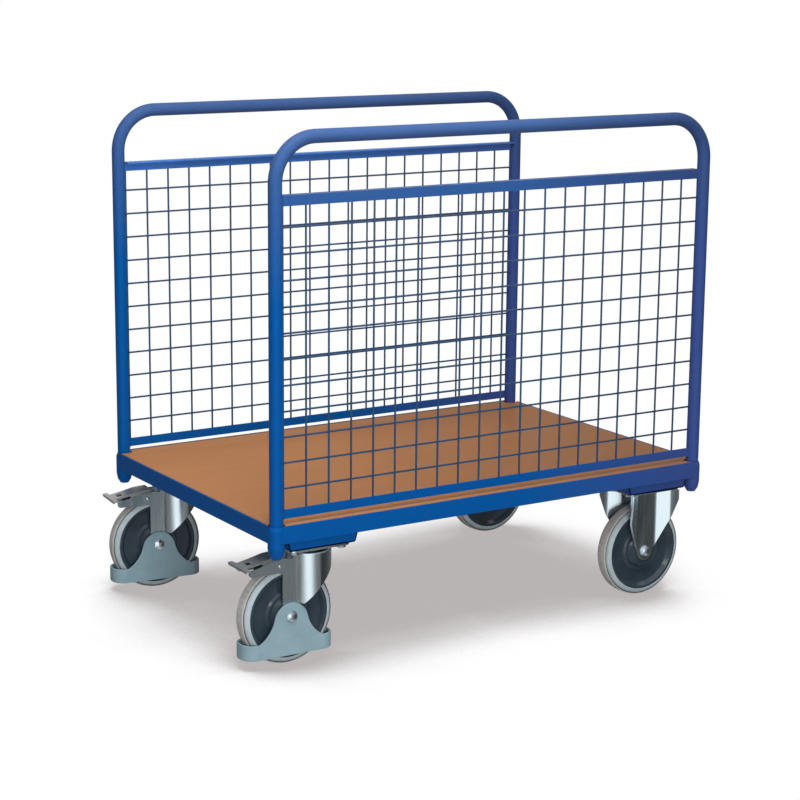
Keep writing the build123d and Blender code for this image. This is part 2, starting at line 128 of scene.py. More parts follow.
def scaled(tree, colour, gain):
    inputs = {0: colour, "Scale": gain}
    return outputs_of(tree, "ShaderNodeVectorMath", inputs, operation="SCALE")["Vector"]


def relief(tree, height, depth):
    return outputs_of(tree, "ShaderNodeBump", {"Height": height, "Distance": depth})["Normal"]


def loft(rings, closed=False):
    shape = bmesh.new()
    loops = [[shape.verts.new(point) for point in ring] for ring in rings]
    pairs = list(zip(loops, loops[1:]))
    if closed:
        pairs.append((loops[-1], loops[0]))
    for first, second in pairs:
        for i in range(len(first)):
            j = (i + 1) % len(first)
            shape.faces.new((first[i], first[j], second[j], second[i]))
    if not closed:
        shape.faces.new(loops[0])
        shape.faces.new(loops[-1])
    bmesh.ops.remove_doubles(shape, verts=shape.verts, dist=1e-7)
    bmesh.ops.recalc_face_normals(shape, faces=shape.faces)
    return shape


def level_place(x, y, z):
    return (x, y, z)


def slab(outline, faces, place=level_place):
    return loft([[place(u, v, w) for u, v in outline] for w in faces])


def add_piece(name, shapes, finishes, body, node, slot, edge_round=0.0, crisp=35):
    whole = bmesh.new()
    mesh = bpy.data.meshes.new(name)
    for shape in shapes:
        shape.to_mesh(mesh)
        whole.from_mesh(mesh)
        shape.free()
    whole.to_mesh(mesh)
    whole.free()
    for finish in finishes:
        mesh.materials.append(finish)
    mesh.shade_smooth()
    piece = bpy.data.objects.new(name, mesh)
    bpy.context.scene.collection.objects.link(piece)
    if edge_round:
        bevel = piece.modifiers.new("edge_round", "BEVEL")
        bevel.width = edge_round
        bevel.segments = 2
        bevel.limit_method = "ANGLE"
        bevel.angle_limit = math.radians(crisp)
        bevel.harden_normals = True
    else:
        mesh.set_sharp_from_angle(angle=math.radians(crisp))
    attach(piece, body)
    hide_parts(node)


def deck_notch(along, across, steps=8):
    reach_x = abs((deck_high.x if along > 0 else deck_low.x) - post_x[along])
    reach_y = abs((deck_high.y if across > 0 else deck_low.y) - post_y[across])
    start = -math.acos(reach_x / deck_notch_r)
    end = -math.asin(reach_y / deck_notch_r) - math.pi
    points = []
    for i in range(steps + 1):
        angle = start + (end - start) * i / steps
        x = post_x[along] + along * deck_notch_r * math.cos(angle)
        y = post_y[across] + across * deck_notch_r * math.sin(angle)
        points.append((x, y))
    return points if along == across else points[::-1]


deck_outline = []
for along, across in ((1, 1), (-1, 1), (-1, -1), (1, -1)):
    deck_outline += deck_notch(along, across)
deck_film, tree, skin = new_finish("deck_film")
streaks = grain(tree, 140, stretch=(0.04, 1, 1), detail=4)
film_colour = tinted(tree, streaks, ((0.3, film_dark), (0.5, film_mid), (0.72, film_pale)))
# Painted shade: the film colour darkens towards the front end, as though the light falls off there
film_painted_shade_gain = levels(tree, object_axis(tree, "X"), 1.0, film_painted_shade, *film_painted_shade_run)
film_look = {
    "Base Color": scaled(tree, film_colour, film_painted_shade_gain),
    "Roughness": levels(tree, streaks, *film_roughness),
    "Specular IOR Level": 0.1,
    "Normal": relief(tree, streaks, 0.05 * mm),
}
feed(tree, skin, film_look)
board = slab(deck_outline, (deck_low.z, deck_high.z))
add_piece("deck_panel", [board], [deck_film], "chassis", "deck_board", "deck_wood", deck_edge_round)

# Frame rails: rolled steel bars with an upright flange outside and a ledge inside for the board.
# They are cut to fit round the corner sockets and welded to them. The powder coat is blue, with a
# painted sheen that greys it towards the top of the walls and painted shade towards the front end.
frame_sheet = 4.0 * mm
frame_edge_round = 0.9 * mm
rail_seat_r = socket_r + 0.05 * mm
ledge_end_gap = 20.0 * mm
coat_low = (0, 75, 142)
coat_sheen_top = (57, 83, 130)
coat_shaded_end_low = (49, 69, 127)
coat_shaded_end_high = (45, 68, 110)
coat_sheen_fade = (0.72, 1.05)
end_shade_fade = (0.08, 0.5)
coat_roughness = (0.3, 0.42)


# Colour greyed from one height to another by a painted sheen, and towards the front end by painted shade
def painted_light_blend(tree, fade, low, high, end_low, end_high):
    height = levels(tree, object_axis(tree, "Z"), 0.0, 1.0, *fade)
    ends = {
        "Factor": levels(tree, object_axis(tree, "X"), 0.0, 1.0, *end_shade_fade),
        "A": tinted(tree, height, ((0.0, low), (1.0, high))),
        "B": tinted(tree, height, ((0.0, end_low), (1.0, end_high))),
    }
    return outputs_of(tree, "ShaderNodeMix", ends, data_type="RGBA")["Result"]


def coat(name, gain=1.0):
    finish, tree, skin = new_finish(name)
    blue = painted_light_blend(tree, coat_sheen_fade, coat_low, coat_sheen_top, coat_shaded_end_low, coat_shaded_end_high)
    look = {
        "Base Color": scaled(tree, blue, gain),
        "Roughness": levels(tree, grain(tree, 40), *coat_roughness),
        "Specular IOR Level": 0.12,
        "Normal": relief(tree, grain(tree, 900, detail=1), 0.04 * mm),
    }
    feed(tree, skin, look)
    return finish


blue_coat = coat("blue_coat")


def bar(section, ends, place=level_place):
    return loft([[place(ends(end, v), v, z) for v, z in section] for end in (-1, 1)])


def frame_rail(name, along_x, outward):
    low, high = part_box(name)
    posts = post_x if along_x else post_y
    post_across = (post_y if along_x else post_x)[outward]
    low_edge = low.y if along_x else low.x
    high_edge = high.y if along_x else high.x
    outer = high_edge if outward > 0 else low_edge
    inner = low_edge if outward > 0 else high_edge
    flange_inner = outer - outward * frame_sheet

    def place(u, v, z):
        return (u, v, z) if along_x else (v, u, z)

    def at_socket(end, v):
        return posts[end] - end * math.sqrt(rail_seat_r**2 - (v - post_across) ** 2)

    def short_of_socket(end, v):
        return posts[end] - end * ledge_end_gap

    ledge_top = deck_low.z
    ledge_bottom = ledge_top - frame_sheet
    flange = [(outer, low.z), (outer, high.z), (flange_inner, high.z), (flange_inner, low.z)]
    ledge = [
        (flange_inner, ledge_bottom),
        (flange_inner, ledge_top),
        (inner, ledge_top),
        (inner, ledge_bottom),
    ]
    shapes = [bar(flange, at_socket, place), bar(ledge, short_of_socket, place)]
    bar_name = name.replace("frame_rail", "frame_bar")
    add_piece(bar_name, shapes, [blue_coat], "chassis", name, "blue_coat", frame_edge_round)


frame_rail("right_frame_rail", True, -1)
frame_rail("left_frame_rail", True, 1)
frame_rail("rear_frame_rail", False, -1)
frame_rail("front_frame_rail", False, 1)

# Corner sockets: lengths of steel tube with the lower end swaged in to a round tip.
# The rails are welded to them and the wall posts stand inside.
socket_bore_r = 13.8 * mm
socket_tip_r = 9.0 * mm
socket_tip_bore_r = 5.8 * mm
socket_tip_depth = 4.0 * mm
socket_cheek_r = socket_tip_r + 5.5 * mm
socket_cheek = 9.0 * mm
socket_taper = 22.0 * mm
socket_rim = 9.0 * mm
socket_lip = 0.2 * mm
socket_lip_depth = 0.6 * mm
socket_round = 1.2 * mm


def bent_path(corners, radius, steps=4):
    path = [Vector(corners[0])]
    for before, corner, after in zip(corners, corners[1:], corners[2:]):
        corner = Vector(corner)
        back = (Vector(before) - corner).normalized()
        ahead = (Vector(after) - corner).normalized()
        half = back.angle(ahead) / 2
        turn = math.pi - 2 * half
        if turn < 0.01:
            path.append(corner)
            continue
        centre = corner + (back + ahead).normalized() * radius / math.sin(half)
        start = corner + back * radius / math.tan(half) - centre
        side = -1 if ahead.x * back.y - ahead.y * back.x < 0 else 1
        for i in range(steps + 1):
            path.append(centre + Matrix.Rotation(side * turn * i / steps, 2) @ start)
    path.append(Vector(corners[-1]))
    return path


def turned(profile, steps=64):
    rings = []
    for i in range(steps):
        angle = 2 * math.pi * i / steps
        rings.append([(r * math.cos(angle), r * math.sin(angle), z) for r, z in profile])
    return loft(rings, closed=True)


def placed(shape, matrix):
    bmesh.ops.transform(shape, matrix=matrix, verts=shape.verts)
    return shape


def corner_socket(x, y):
    top = socket_high.z
    foot = socket_low.z
    shoulder = foot + socket_taper
    outside = [
        (socket_tip_bore_r, foot + socket_tip_depth),
        (socket_tip_bore_r, foot),
        (socket_tip_r, foot),
        (socket_cheek_r, foot + socket_cheek),
        (socket_r, shoulder),
        (socket_r, top - socket_rim),
        (socket_bore_r + socket_lip, top),
        (socket_bore_r, top - socket_lip_depth),
        (socket_bore_r, shoulder),
    ]
    return placed(turned(bent_path(outside, socket_round)), Matrix.Translation((x, y, 0)))


sockets_made = [corner_socket(post_x[i], post_y[j]) for i in (-1, 1) for j in (-1, 1)]
add_piece("socket_tubes", sockets_made, [blue_coat], "chassis", "corner_sockets", "blue_coat")

# Castor channels: trays folded from steel sheet, with sloping sides and a plate welded in each end.
# They run across under the frame and carry the castors.
channel_sheet = 4.0 * mm
channel_floor_half = 73.25 * mm
channel_bend_r = 5.0 * mm
channel_notch = 9.0 * mm
channel_edge_round = 0.8 * mm
channel_top = deck_low.z - frame_sheet


def upright_place(x, z, y):
    return (x, y, z)


def carrier_of(shape):
    mesh = bpy.data.meshes.new("carrier")
    shape.to_mesh(mesh)
    shape.free()
    carrier = bpy.data.objects.new("carrier", mesh)
    bpy.context.scene.collection.objects.link(carrier)
    return carrier


def settled(carrier):
    graph = bpy.context.evaluated_depsgraph_get()
    mesh = bpy.data.meshes.new_from_object(carrier.evaluated_get(graph))
    shape = bmesh.new()
    shape.from_mesh(mesh)
    bpy.data.meshes.remove(mesh)
    bpy.data.objects.remove(carrier)
    return shape


def lengths_along(path):
    marks = [0.0]
    for start, end in zip(path, path[1:]):
        marks.append(marks[-1] + (end - start).length)
    return marks


# A blank is cut in the flat, as (distance along the path, distance across it), and then folded
def folded_sheet(blank_outline, path, place, thickness, windows=(), cut_edge=0):
    marks = lengths_along(path)
    blank = bmesh.new()
    blank.faces.new([blank.verts.new((s, t, 0)) for s, t in blank_outline])
    cuts = [((s, 0, 0), (1, 0, 0)) for s in marks[1:-1]]
    for low_s, high_s, low_t, high_t in windows:
        cuts += [((s, 0, 0), (1, 0, 0)) for s in (low_s, high_s)]
        cuts += [((0, t, 0), (0, 1, 0)) for t in (low_t, high_t)]
    for at, facing in cuts:
        everything = blank.verts[:] + blank.edges[:] + blank.faces[:]
        bmesh.ops.bisect_plane(blank, geom=everything, plane_co=at, plane_no=facing, dist=1e-6)
    waste = []
    for face in blank.faces:
        s, t = face.calc_center_median().xy
        if any(a < s < b and c < t < d for a, b, c, d in windows):
            waste.append(face)
    bmesh.ops.delete(blank, geom=waste, context="FACES")
    for vert in blank.verts:
        s, t = vert.co.xy
        run = min(max(bisect_right(marks, s) - 1, 0), len(path) - 2)
        share = (s - marks[run]) / (marks[run + 1] - marks[run])
        along = path[run].lerp(path[run + 1], share)
        vert.co = place(along.x, along.y, t)
    bmesh.ops.remove_doubles(blank, verts=blank.verts, dist=1e-6)
    carrier = carrier_of(blank)
    wall = carrier.modifiers.new("wall", "SOLIDIFY")
    wall.thickness = thickness
    wall.offset = -1
    wall.use_even_offset = True
    wall.material_offset_rim = cut_edge
    return settled(carrier)


def castor_channel(name, along):
    low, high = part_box(name)
    middle = (low.x + high.x) / 2
    reach = (high.x - low.x) / 2
    corners = [
        (middle + reach, channel_top),
        (middle + channel_floor_half, low.z),
        (middle - channel_floor_half, low.z),
        (middle - reach, channel_top),
    ]
    path = bent_path(corners, channel_bend_r)
    length = lengths_along(path)[-1]
    outline = [(0, low.y), (length, low.y), (length, high.y), (0, high.y)]
    spare = length - channel_notch if along < 0 else 0
    windows = []
    for across in (-1, 1):
        edge = sorted((post_y[across] - across * rail_seat_r, across))
        windows.append((spare, spare + channel_notch, *edge))
    tray = folded_sheet(outline, path, upright_place, channel_sheet, windows)
    share = channel_notch / (channel_top - low.z)
    notch_reach = reach - (reach - channel_floor_half) * share
    cap = [
        (middle - along * reach, channel_top),
        (middle - along * channel_floor_half, low.z),
        (middle + along * channel_floor_half, low.z),
        (middle + along * notch_reach, channel_top - channel_notch),
        (middle + along * (notch_reach - channel_notch), channel_top),
    ]
    cap = bent_path(cap, channel_bend_r)
    ends = []
    for end in (low.y, high.y - channel_sheet):
        ends.append(slab(cap, (end, end + channel_sheet), upright_place))
    tray_name = name.replace("castor_channel", "castor_tray")
    shapes = [tray, *ends]
    add_piece(tray_name, shapes, [blue_coat], "chassis", name, "blue_coat", channel_edge_round)


castor_channel("rear_castor_channel", -1)
castor_channel("front_castor_channel", 1)

# Wall hoops: one steel tube for each side wall, bent twice to make two posts and a handle bar.
# The lower ends are open and stand loose in the corner sockets.
tube_r = 13.5 * mm
tube_bore_r = 11.5 * mm
tube_bend_r = 85.0 * mm
tube_end_depth = 8.0 * mm
sides = {"right": -1, "left": 1}


def swept(path, radii, steps=40):
    rings = []
    for i, (point, radius) in enumerate(zip(path, radii)):
        ahead = path[min(i + 1, len(path) - 1)] - path[max(i - 1, 0)]
        if ahead.length < 1e-9:
            ahead = Vector((0, 1))
        side = Vector((ahead.y, -ahead.x)).normalized()
        ring = []
        for k in range(steps):
            angle = 2 * math.pi * k / steps
            u = point + side * radius * math.cos(angle)
            ring.append((u.x, radius * math.sin(angle), u.y))
        rings.append(ring)
    return loft(rings)


for side_name, across in sides.items():
    node = f"{side_name}_hoop"
    low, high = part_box(node)
    crown = high.z - tube_r
    corners = [(post_x[-1], low.z), (post_x[-1], crown), (post_x[1], crown), (post_x[1], low.z)]
    path = bent_path(corners, tube_bend_r, steps=18)
    up = Vector((0, tube_end_depth))
    path = [path[0] + up, path[0], *path, path[-1], path[-1] + up]
    radii = [tube_bore_r] * 2 + [tube_r] * (len(path) - 4) + [tube_bore_r] * 2
    tube = placed(swept(path, radii), Matrix.Translation((0, post_y[across], 0)))
    add_piece(f"{side_name}_tube", [tube], [blue_coat], f"{side_name}_side_wall", node, "blue_coat")

# Wall rails: a rolled steel angle above each mesh panel, its level leg pointing in along the top, and
# a flat steel bar below it. Both are cut square between the posts and welded to them. The left angle
# is seen from inside, in the shade of its own level leg, and has a coat painted twice as bright, a
# painted light that makes up for that shade.
rail_sheet = 3.0 * mm
rail_round = 0.8 * mm
bead_r = 2.3 * mm
bead_ripple = 0.14
bead_ripple_pitch = 2.4 * mm
painted_light_gain = 2.0
painted_light_coat = coat("painted_light_coat", painted_light_gain)


def new_tree(name, inputs):
    tree = bpy.data.node_groups.new(name, "GeometryNodeTree")
    face = tree.interface
    face.new_socket("Geometry", in_out="INPUT", socket_type="NodeSocketGeometry")
    for label, kind in inputs.items():
        face.new_socket(label, in_out="INPUT", socket_type=f"NodeSocket{kind}")
    face.new_socket("Geometry", in_out="OUTPUT", socket_type="NodeSocketGeometry")
    return tree, tree.nodes.new("NodeGroupInput").outputs


def ended(tree, instances, finish):
    real = outputs_of(tree, "GeometryNodeRealizeInstances", {"Geometry": instances})["Geometry"]
    paint = {"Geometry": real, "Material": finish}
    painted = outputs_of(tree, "GeometryNodeSetMaterial", paint)["Geometry"]
    feed(tree, tree.nodes.new("NodeGroupOutput"), {"Geometry": painted})


def grown(tree, values, base=None):
    carrier = carrier_of(base or bmesh.new())
    modifier = carrier.modifiers.new(tree.name, "NODES")
    modifier.node_group = tree
    for item in tree.interface.items_tree:
        if item.in_out == "INPUT" and item.name in values:
            modifier[item.identifier] = values[item.name]
    return settled(carrier)


def reckoned(tree, operation, *values):
    return outputs_of(tree, "ShaderNodeMath", dict(enumerate(values)), operation=operation)["Value"]


def round_bar(tree, curve, radius, swell=1.0):
    section = {"Resolution": 12, "Radius": radius}
    skin = {
        "Curve": curve,
        "Profile Curve": outputs_of(tree, "GeometryNodeCurvePrimitiveCircle", section)["Curve"],
        "Scale": swell,
        "Fill Caps": True,
    }
    return outputs_of(tree, "GeometryNodeCurveToMesh", skin)["Mesh"]


# A bead of weld along an edge path: a round section whose radius ripples with the length
weld_bead, given = new_tree(
    "weld_bead", {"Radius": "Float", "Ripple": "Float", "Ripple Pitch": "Float", "Finish": "Material"}
)
seam = outputs_of(weld_bead, "GeometryNodeMeshToCurve", {"Mesh": given["Geometry"]})["Curve"]
steps = {"Curve": seam, "Length": bead_ripple_pitch / 4}
seam = outputs_of(weld_bead, "GeometryNodeResampleCurve", steps, mode="LENGTH")["Curve"]
run = outputs_of(weld_bead, "GeometryNodeSplineParameter")["Length"]
waves = reckoned(weld_bead, "DIVIDE", run, given["Ripple Pitch"])
ripple = reckoned(weld_bead, "SINE", reckoned(weld_bead, "MULTIPLY", waves, 2 * math.pi))
swell = reckoned(weld_bead, "MULTIPLY_ADD", ripple, given["Ripple"], 1.0)
bead_size = reckoned(weld_bead, "MULTIPLY", swell, given["Radius"])
ended(weld_bead, round_bar(weld_bead, seam, 1.0, bead_size), given["Finish"])


def wall_rail(piece_name, node, body, across, finish):
    low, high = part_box(node)
    outer, toe = (high.y, low.y) if across > 0 else (low.y, high.y)
    inside = outer - across * rail_sheet
    section = [(outer, low.z), (outer, high.z), (toe, high.z)]
    if high.y - low.y > 2 * rail_sheet:
        section += [(toe, high.z - rail_sheet), (inside, high.z - rail_sheet)]
    section.append((inside, low.z))
    ends = {-1: low.x, 1: high.x}
    rail = bar(section, lambda end, y: ends[end])
    seams = bmesh.new()
    for x in ends.values():
        corners = [(x, outer, high.z), (x, outer, low.z), (x, inside, low.z)]
        points = [seams.verts.new(corner) for corner in corners]
        for first, second in zip(points, points[1:]):
            seams.edges.new((first, second))
    bead = {"Radius": bead_r, "Ripple": bead_ripple, "Ripple Pitch": bead_ripple_pitch, "Finish": finish}
    beads = grown(weld_bead, bead, seams)
    add_piece(piece_name, [rail, beads], [finish], body, node, "blue_coat", rail_round)


for (side_name, across), top_coat in zip(sides.items(), (blue_coat, painted_light_coat)):
    body = f"{side_name}_side_wall"
    wall_rail(f"{side_name}_top_angle", f"{side_name}_top_rail", body, across, top_coat)
    wall_rail(f"{side_name}_bottom_bar", f"{side_name}_bottom_rail", body, across, blue_coat)

# Mesh panels: drawn steel wire in a square grid, spot welded at each crossing, then coated with the
# rest of the wall. The coat on the thin wires has a darker, greyer colour, with a painted sheen that
# greys it towards the top and painted shade towards the front end. Upright wires stand between the
# rails, cross wires lie against their inner side.
wire_d = 4.0 * mm
wire_pitch = 50.0 * mm
nugget_r = 2.1 * mm
nugget_least = (0.85, 0.9, 0.85)
nugget_most = (1.3, 1.0, 1.3)
nugget_seed = 7
wire_low = (28, 63, 92)
wire_sheen_top = (55, 74, 102)
wire_shaded_end_low = (38, 57, 82)
wire_shaded_end_high = (53, 65, 90)
wire_sheen_fade = (0.35, 0.95)
wire_roughness = (0.35, 0.48)
wire_coat, tree, skin = new_finish("wire_coat")
wire_look = {
    "Base Color": painted_light_blend(tree, wire_sheen_fade, wire_low, wire_sheen_top, wire_shaded_end_low, wire_shaded_end_high),
    "Roughness": levels(tree, grain(tree, 60, detail=3), *wire_roughness),
    "Specular IOR Level": 0.25,
}
feed(tree, skin, wire_look)


def set_on(tree, points, piece, finish, scale=(1, 1, 1)):
    copies = {"Points": points, "Instance": piece, "Scale": scale}
    ended(tree, outputs_of(tree, "GeometryNodeInstanceOnPoints", copies)["Instances"], finish)


wire_row, given = new_tree(
    "wire_row",
    {
        "First Start": "Vector",
        "First End": "Vector",
        "Step": "Vector",
        "Count": "Int",
        "Radius": "Float",
        "Finish": "Material",
    },
)
row = {"Count": given["Count"], "Offset": given["Step"]}
places = outputs_of(wire_row, "GeometryNodeMeshLine", row, mode="OFFSET")["Mesh"]
first_wire = {"Start": given["First Start"], "End": given["First End"]}
axis = outputs_of(wire_row, "GeometryNodeCurvePrimitiveLine", first_wire)["Curve"]
set_on(wire_row, places, round_bar(wire_row, axis, given["Radius"]), given["Finish"])

nugget_grid, given = new_tree(
    "nugget_grid",
    {
        "Columns": "Int",
        "Rows": "Int",
        "Width": "Float",
        "Height": "Float",
        "Middle": "Vector",
        "Radius": "Float",
        "Seed": "Int",
        "Finish": "Material",
    },
)
panel = {
    "Vertices X": given["Columns"],
    "Vertices Y": given["Rows"],
    "Size X": given["Width"],
    "Size Y": given["Height"],
}
stood_up = {
    "Geometry": outputs_of(nugget_grid, "GeometryNodeMeshGrid", panel)["Mesh"],
    "Translation": given["Middle"],
    "Rotation": (math.pi / 2, 0, 0),
}
crossings = outputs_of(nugget_grid, "GeometryNodeTransform", stood_up)["Geometry"]
ball = {"Radius": given["Radius"], "Subdivisions": 1}
nugget = outputs_of(nugget_grid, "GeometryNodeMeshIcoSphere", ball)["Mesh"]
sizes = {"Min": nugget_least, "Max": nugget_most, "Seed": given["Seed"]}
uneven = outputs_of(nugget_grid, "FunctionNodeRandomValue", sizes, data_type="FLOAT_VECTOR")["Value"]
set_on(nugget_grid, crossings, nugget, given["Finish"], uneven)


def wires_from(start, end, step, count):
    values = {"First Start": start, "First End": end, "Step": step, "Count": count}
    return grown(wire_row, {**values, "Radius": wire_d / 2, "Finish": wire_coat})


for side_name in sides:
    body = f"{side_name}_side_wall"
    up_node = f"{side_name}_mesh_uprights"
    cross_node = f"{side_name}_mesh_crosswires"
    up_low, up_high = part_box(up_node)
    cross_low, cross_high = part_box(cross_node)
    first_x = up_low.x + wire_d / 2
    last_x = up_high.x - wire_d / 2
    columns = round((last_x - first_x) / wire_pitch) + 1
    first_z = cross_low.z + wire_d / 2
    last_z = cross_high.z - wire_d / 2
    rows = round((last_z - first_z) / wire_pitch) + 1
    up_y = (up_low.y + up_high.y) / 2
    cross_y = (cross_low.y + cross_high.y) / 2
    uprights = wires_from(
        (first_x, up_y, up_low.z), (first_x, up_y, up_high.z), (wire_pitch, 0, 0), columns
    )
    crosswires = wires_from(
        (cross_low.x, cross_y, first_z), (cross_high.x, cross_y, first_z), (0, 0, wire_pitch), rows
    )
    welds = grown(
        nugget_grid,
        {
            "Columns": columns,
            "Rows": rows,
            "Width": last_x - first_x,
            "Height": last_z - first_z,
            "Middle": ((first_x + last_x) / 2, (up_y + cross_y) / 2, (first_z + last_z) / 2),
            "Radius": nugget_r,
            "Seed": nugget_seed,
            "Finish": wire_coat,
        },
    )
    for piece, shapes, node in (
        ("upright_wires", [uprights], up_node),
        ("cross_wires", [crosswires, welds], cross_node),
    ):
        add_piece(f"{side_name}_{piece}", shapes, [wire_coat], body, node, "blue_coat")

# Castor places: the frame gives each swivel axis and each axle. A castor's own frame has its origin
# on the floor under the swivel axis, or under the axle of a fixed castor, and the wheel along X.
joints = {joint["name"]: joint for joint in frame["joints"]}
trail = 53.0 * mm
axle_z = joints["rear_right_wheel_spin"]["pos_m"][2]
swivel_axle = Matrix.Translation((-trail, 0, axle_z)) @ Matrix.Rotation(math.pi / 2, 4, "X")
fixed_axle = Matrix.Translation((0, 0, axle_z)) @ Matrix.Rotation(math.pi / 2, 4, "X")


def swivel_place(side_name):
    pivot = joints[f"{side_name}_castor_swivel"]["pos_m"]
    axis = joints[f"rear_{side_name}_wheel_spin"]["axis"]
    turn = Matrix.Rotation(math.atan2(-axis[0], axis[1]), 4, "Z")
    return Matrix.Translation((pivot[0], pivot[1], 0)) @ turn


def fixed_place(side_name):
    axle = joints[f"front_{side_name}_wheel_spin"]["pos_m"]
    return Matrix.Translation((axle[0], axle[1], 0))


# Castor plates and swivel bearings: pressed steel plates bolted under the channels, zinc plated,
# with a ring of balls in a near-black race and a riveted king pin under the rear ones.
plate_edge_round = 1.0 * mm
plate_corner_r = 12.0 * mm
zinc_dull = (215, 231, 239)
zinc_clear = (226, 240, 247)
race_dark = (26, 26, 27)
race_pale = (58, 58, 60)


# A finish that one grain varies between two colours, and between two roughnesses where it has them
def mottled(
    name, dark, pale, scale, roughness, metallic=0.0, specular=0.5, stretch=(1, 1, 1), detail=3,
    spread=(0.3, 0.7), gloss=None, depth=0.0, pits=None,
):
    finish, tree, skin = new_finish(name)
    pattern = grain(tree, scale, stretch, detail)
    if isinstance(roughness, tuple):
        roughness = levels(tree, grain(tree, gloss) if gloss else pattern, *roughness)
    look = {
        "Base Color": tinted(tree, pattern, tuple(zip(spread, (dark, pale)))),
        "Roughness": roughness,
        "Metallic": metallic,
        "Specular IOR Level": specular,
    }
    if depth:
        height = grain(tree, pits, detail=1) if pits else pattern
        look["Normal"] = relief(tree, height, depth)
    feed(tree, skin, look)
    return finish


bright_zinc = mottled(
    "bright_zinc", zinc_dull, zinc_clear, 160, (0.2, 0.28), metallic=1.0, stretch=(1, 1, 0.08)
)
race_steel = mottled(
    "race_steel", race_dark, race_pale, 220, (0.3, 0.55), metallic=0.8, spread=(0.35, 0.7)
)


def rounded_rectangle(low, high, radius, steps=6):
    middle_x = (low.x + high.x) / 2
    corners = [
        (middle_x, low.y),
        (high.x, low.y),
        (high.x, high.y),
        (low.x, high.y),
        (low.x, low.y),
        (middle_x, low.y),
    ]
    return bent_path(corners, radius, steps)[:-1]


def dress(node, finish):
    slots = frame["nodes"][node].data.materials
    slots.clear()
    slots.append(finish)


for side_name in sides:
    node = f"{side_name}_swivel_plate"
    low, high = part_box(node)
    plate = slab(rounded_rectangle(low, high, plate_corner_r), (low.z, high.z))
    plate_name = f"{side_name}_top_plate"
    add_piece(plate_name, [plate], [bright_zinc], "chassis", node, "bright_zinc", plate_edge_round)
    dress(f"{side_name}_ball_race", race_steel)
    dress(f"{side_name}_king_pin", race_steel)
dress("castor_nuts", bright_zinc)

# Castor bolts: hexagon bolts in duller zinc, four up through each castor plate into nuts in the
# channel. Each head is chamfered where the hexagon was turned, and sits on a pressed-in washer face.
bolt_across = 17.0 * mm
bolt_head = 6.4 * mm
bolt_r = 5.0 * mm
bolt_face_r = 8.3 * mm
bolt_face_height = 0.6 * mm
bolt_spacing_x = 105.0 * mm
swivel_bolt_spacing_y = 80.0 * mm
fixed_bolt_spacing_y = 50.0 * mm
swivel_plate_sheet = 6.0 * mm
fixed_plate_sheet = 4.0 * mm
crown_share = 0.94
chamfer_slope = math.tan(math.radians(30))
facet_crisp = 20
bolt_dull = (138, 144, 148)
bolt_clear = (166, 172, 176)
bolt_zinc = mottled("bolt_zinc", bolt_dull, bolt_clear, 260, (0.32, 0.46), metallic=1.0)


def hexagon_head(across, height, washer_r, washer_height, dome=0.0):
    rings = []
    steps = 36
    crown_r = across / 2 * crown_share
    shoulder = height - dome
    washer = [(washer_r, 0.0), (washer_r, washer_height * 0.7), (washer_r * 0.97, washer_height)]
    for r, z in washer:
        rings.append([(r, z)] * steps)
    flat = []
    for i in range(steps):
        angle = (2 * math.pi * i / steps + math.pi / 6) % (math.pi / 3) - math.pi / 6
        flat.append(across / 2 / math.cos(angle))
    rings.append([(r, washer_height) for r in flat])
    rings.append([(r, shoulder - max(0.0, r - crown_r) * chamfer_slope) for r in flat])
    for share in (0.98, 0.8, 0.6, 0.4, 0.2):
        rings.append([(crown_r * share, shoulder + dome * (1 - share**2))] * steps)
    turns = [2 * math.pi * i / steps for i in range(steps)]
    return loft(
        [
            [(r * math.cos(a), r * math.sin(a), z) for a, (r, z) in zip(turns, ring)]
            for ring in rings
        ]
    )


set_at_points, given = new_tree("set_at_points", {"Piece": "Object", "Finish": "Material"})
pattern = outputs_of(set_at_points, "GeometryNodeObjectInfo", {"Object": given["Piece"]})["Geometry"]
set_on(set_at_points, given["Geometry"], pattern, given["Finish"])


def copies_at(points, pattern, finish):
    base = bmesh.new()
    for point in points:
        base.verts.new(point)
    piece = carrier_of(pattern)
    shape = grown(set_at_points, {"Piece": piece, "Finish": finish}, base)
    bpy.data.objects.remove(piece)
    return shape


bolt_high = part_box("castor_bolts")[1]
bolt_seats = []
for side_name in sides:
    for node, spacing_y, thickness in (
        (f"{side_name}_swivel_plate", swivel_bolt_spacing_y, swivel_plate_sheet),
        (f"{side_name}_fixed_fork", fixed_bolt_spacing_y, fixed_plate_sheet),
    ):
        low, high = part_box(node)
        middle = (low + high) / 2
        for i in (-1, 1):
            for j in (-1, 1):
                x = middle.x + i * bolt_spacing_x / 2
                y = middle.y + j * spacing_y / 2
                bolt_seats.append((x, y, high.z - thickness))
bolt_pattern = hexagon_head(bolt_across, bolt_head, bolt_face_r, bolt_face_height)
bolt_pattern = placed(bolt_pattern, Matrix.Rotation(math.pi, 4, "X"))
bolt_shapes = [copies_at(bolt_seats, bolt_pattern, bolt_zinc)]
for x, y, seat in bolt_seats:
    shank = [(0, seat), (bolt_r, seat), (bolt_r, bolt_high.z), (0, bolt_high.z)]
    bolt_shapes.append(placed(turned(shank, steps=16), Matrix.Translation((x, y, 0))))
add_piece(
    "plate_bolts", bolt_shapes, [bolt_zinc], "chassis", "castor_bolts", "bright_zinc", crisp=facet_crisp
)

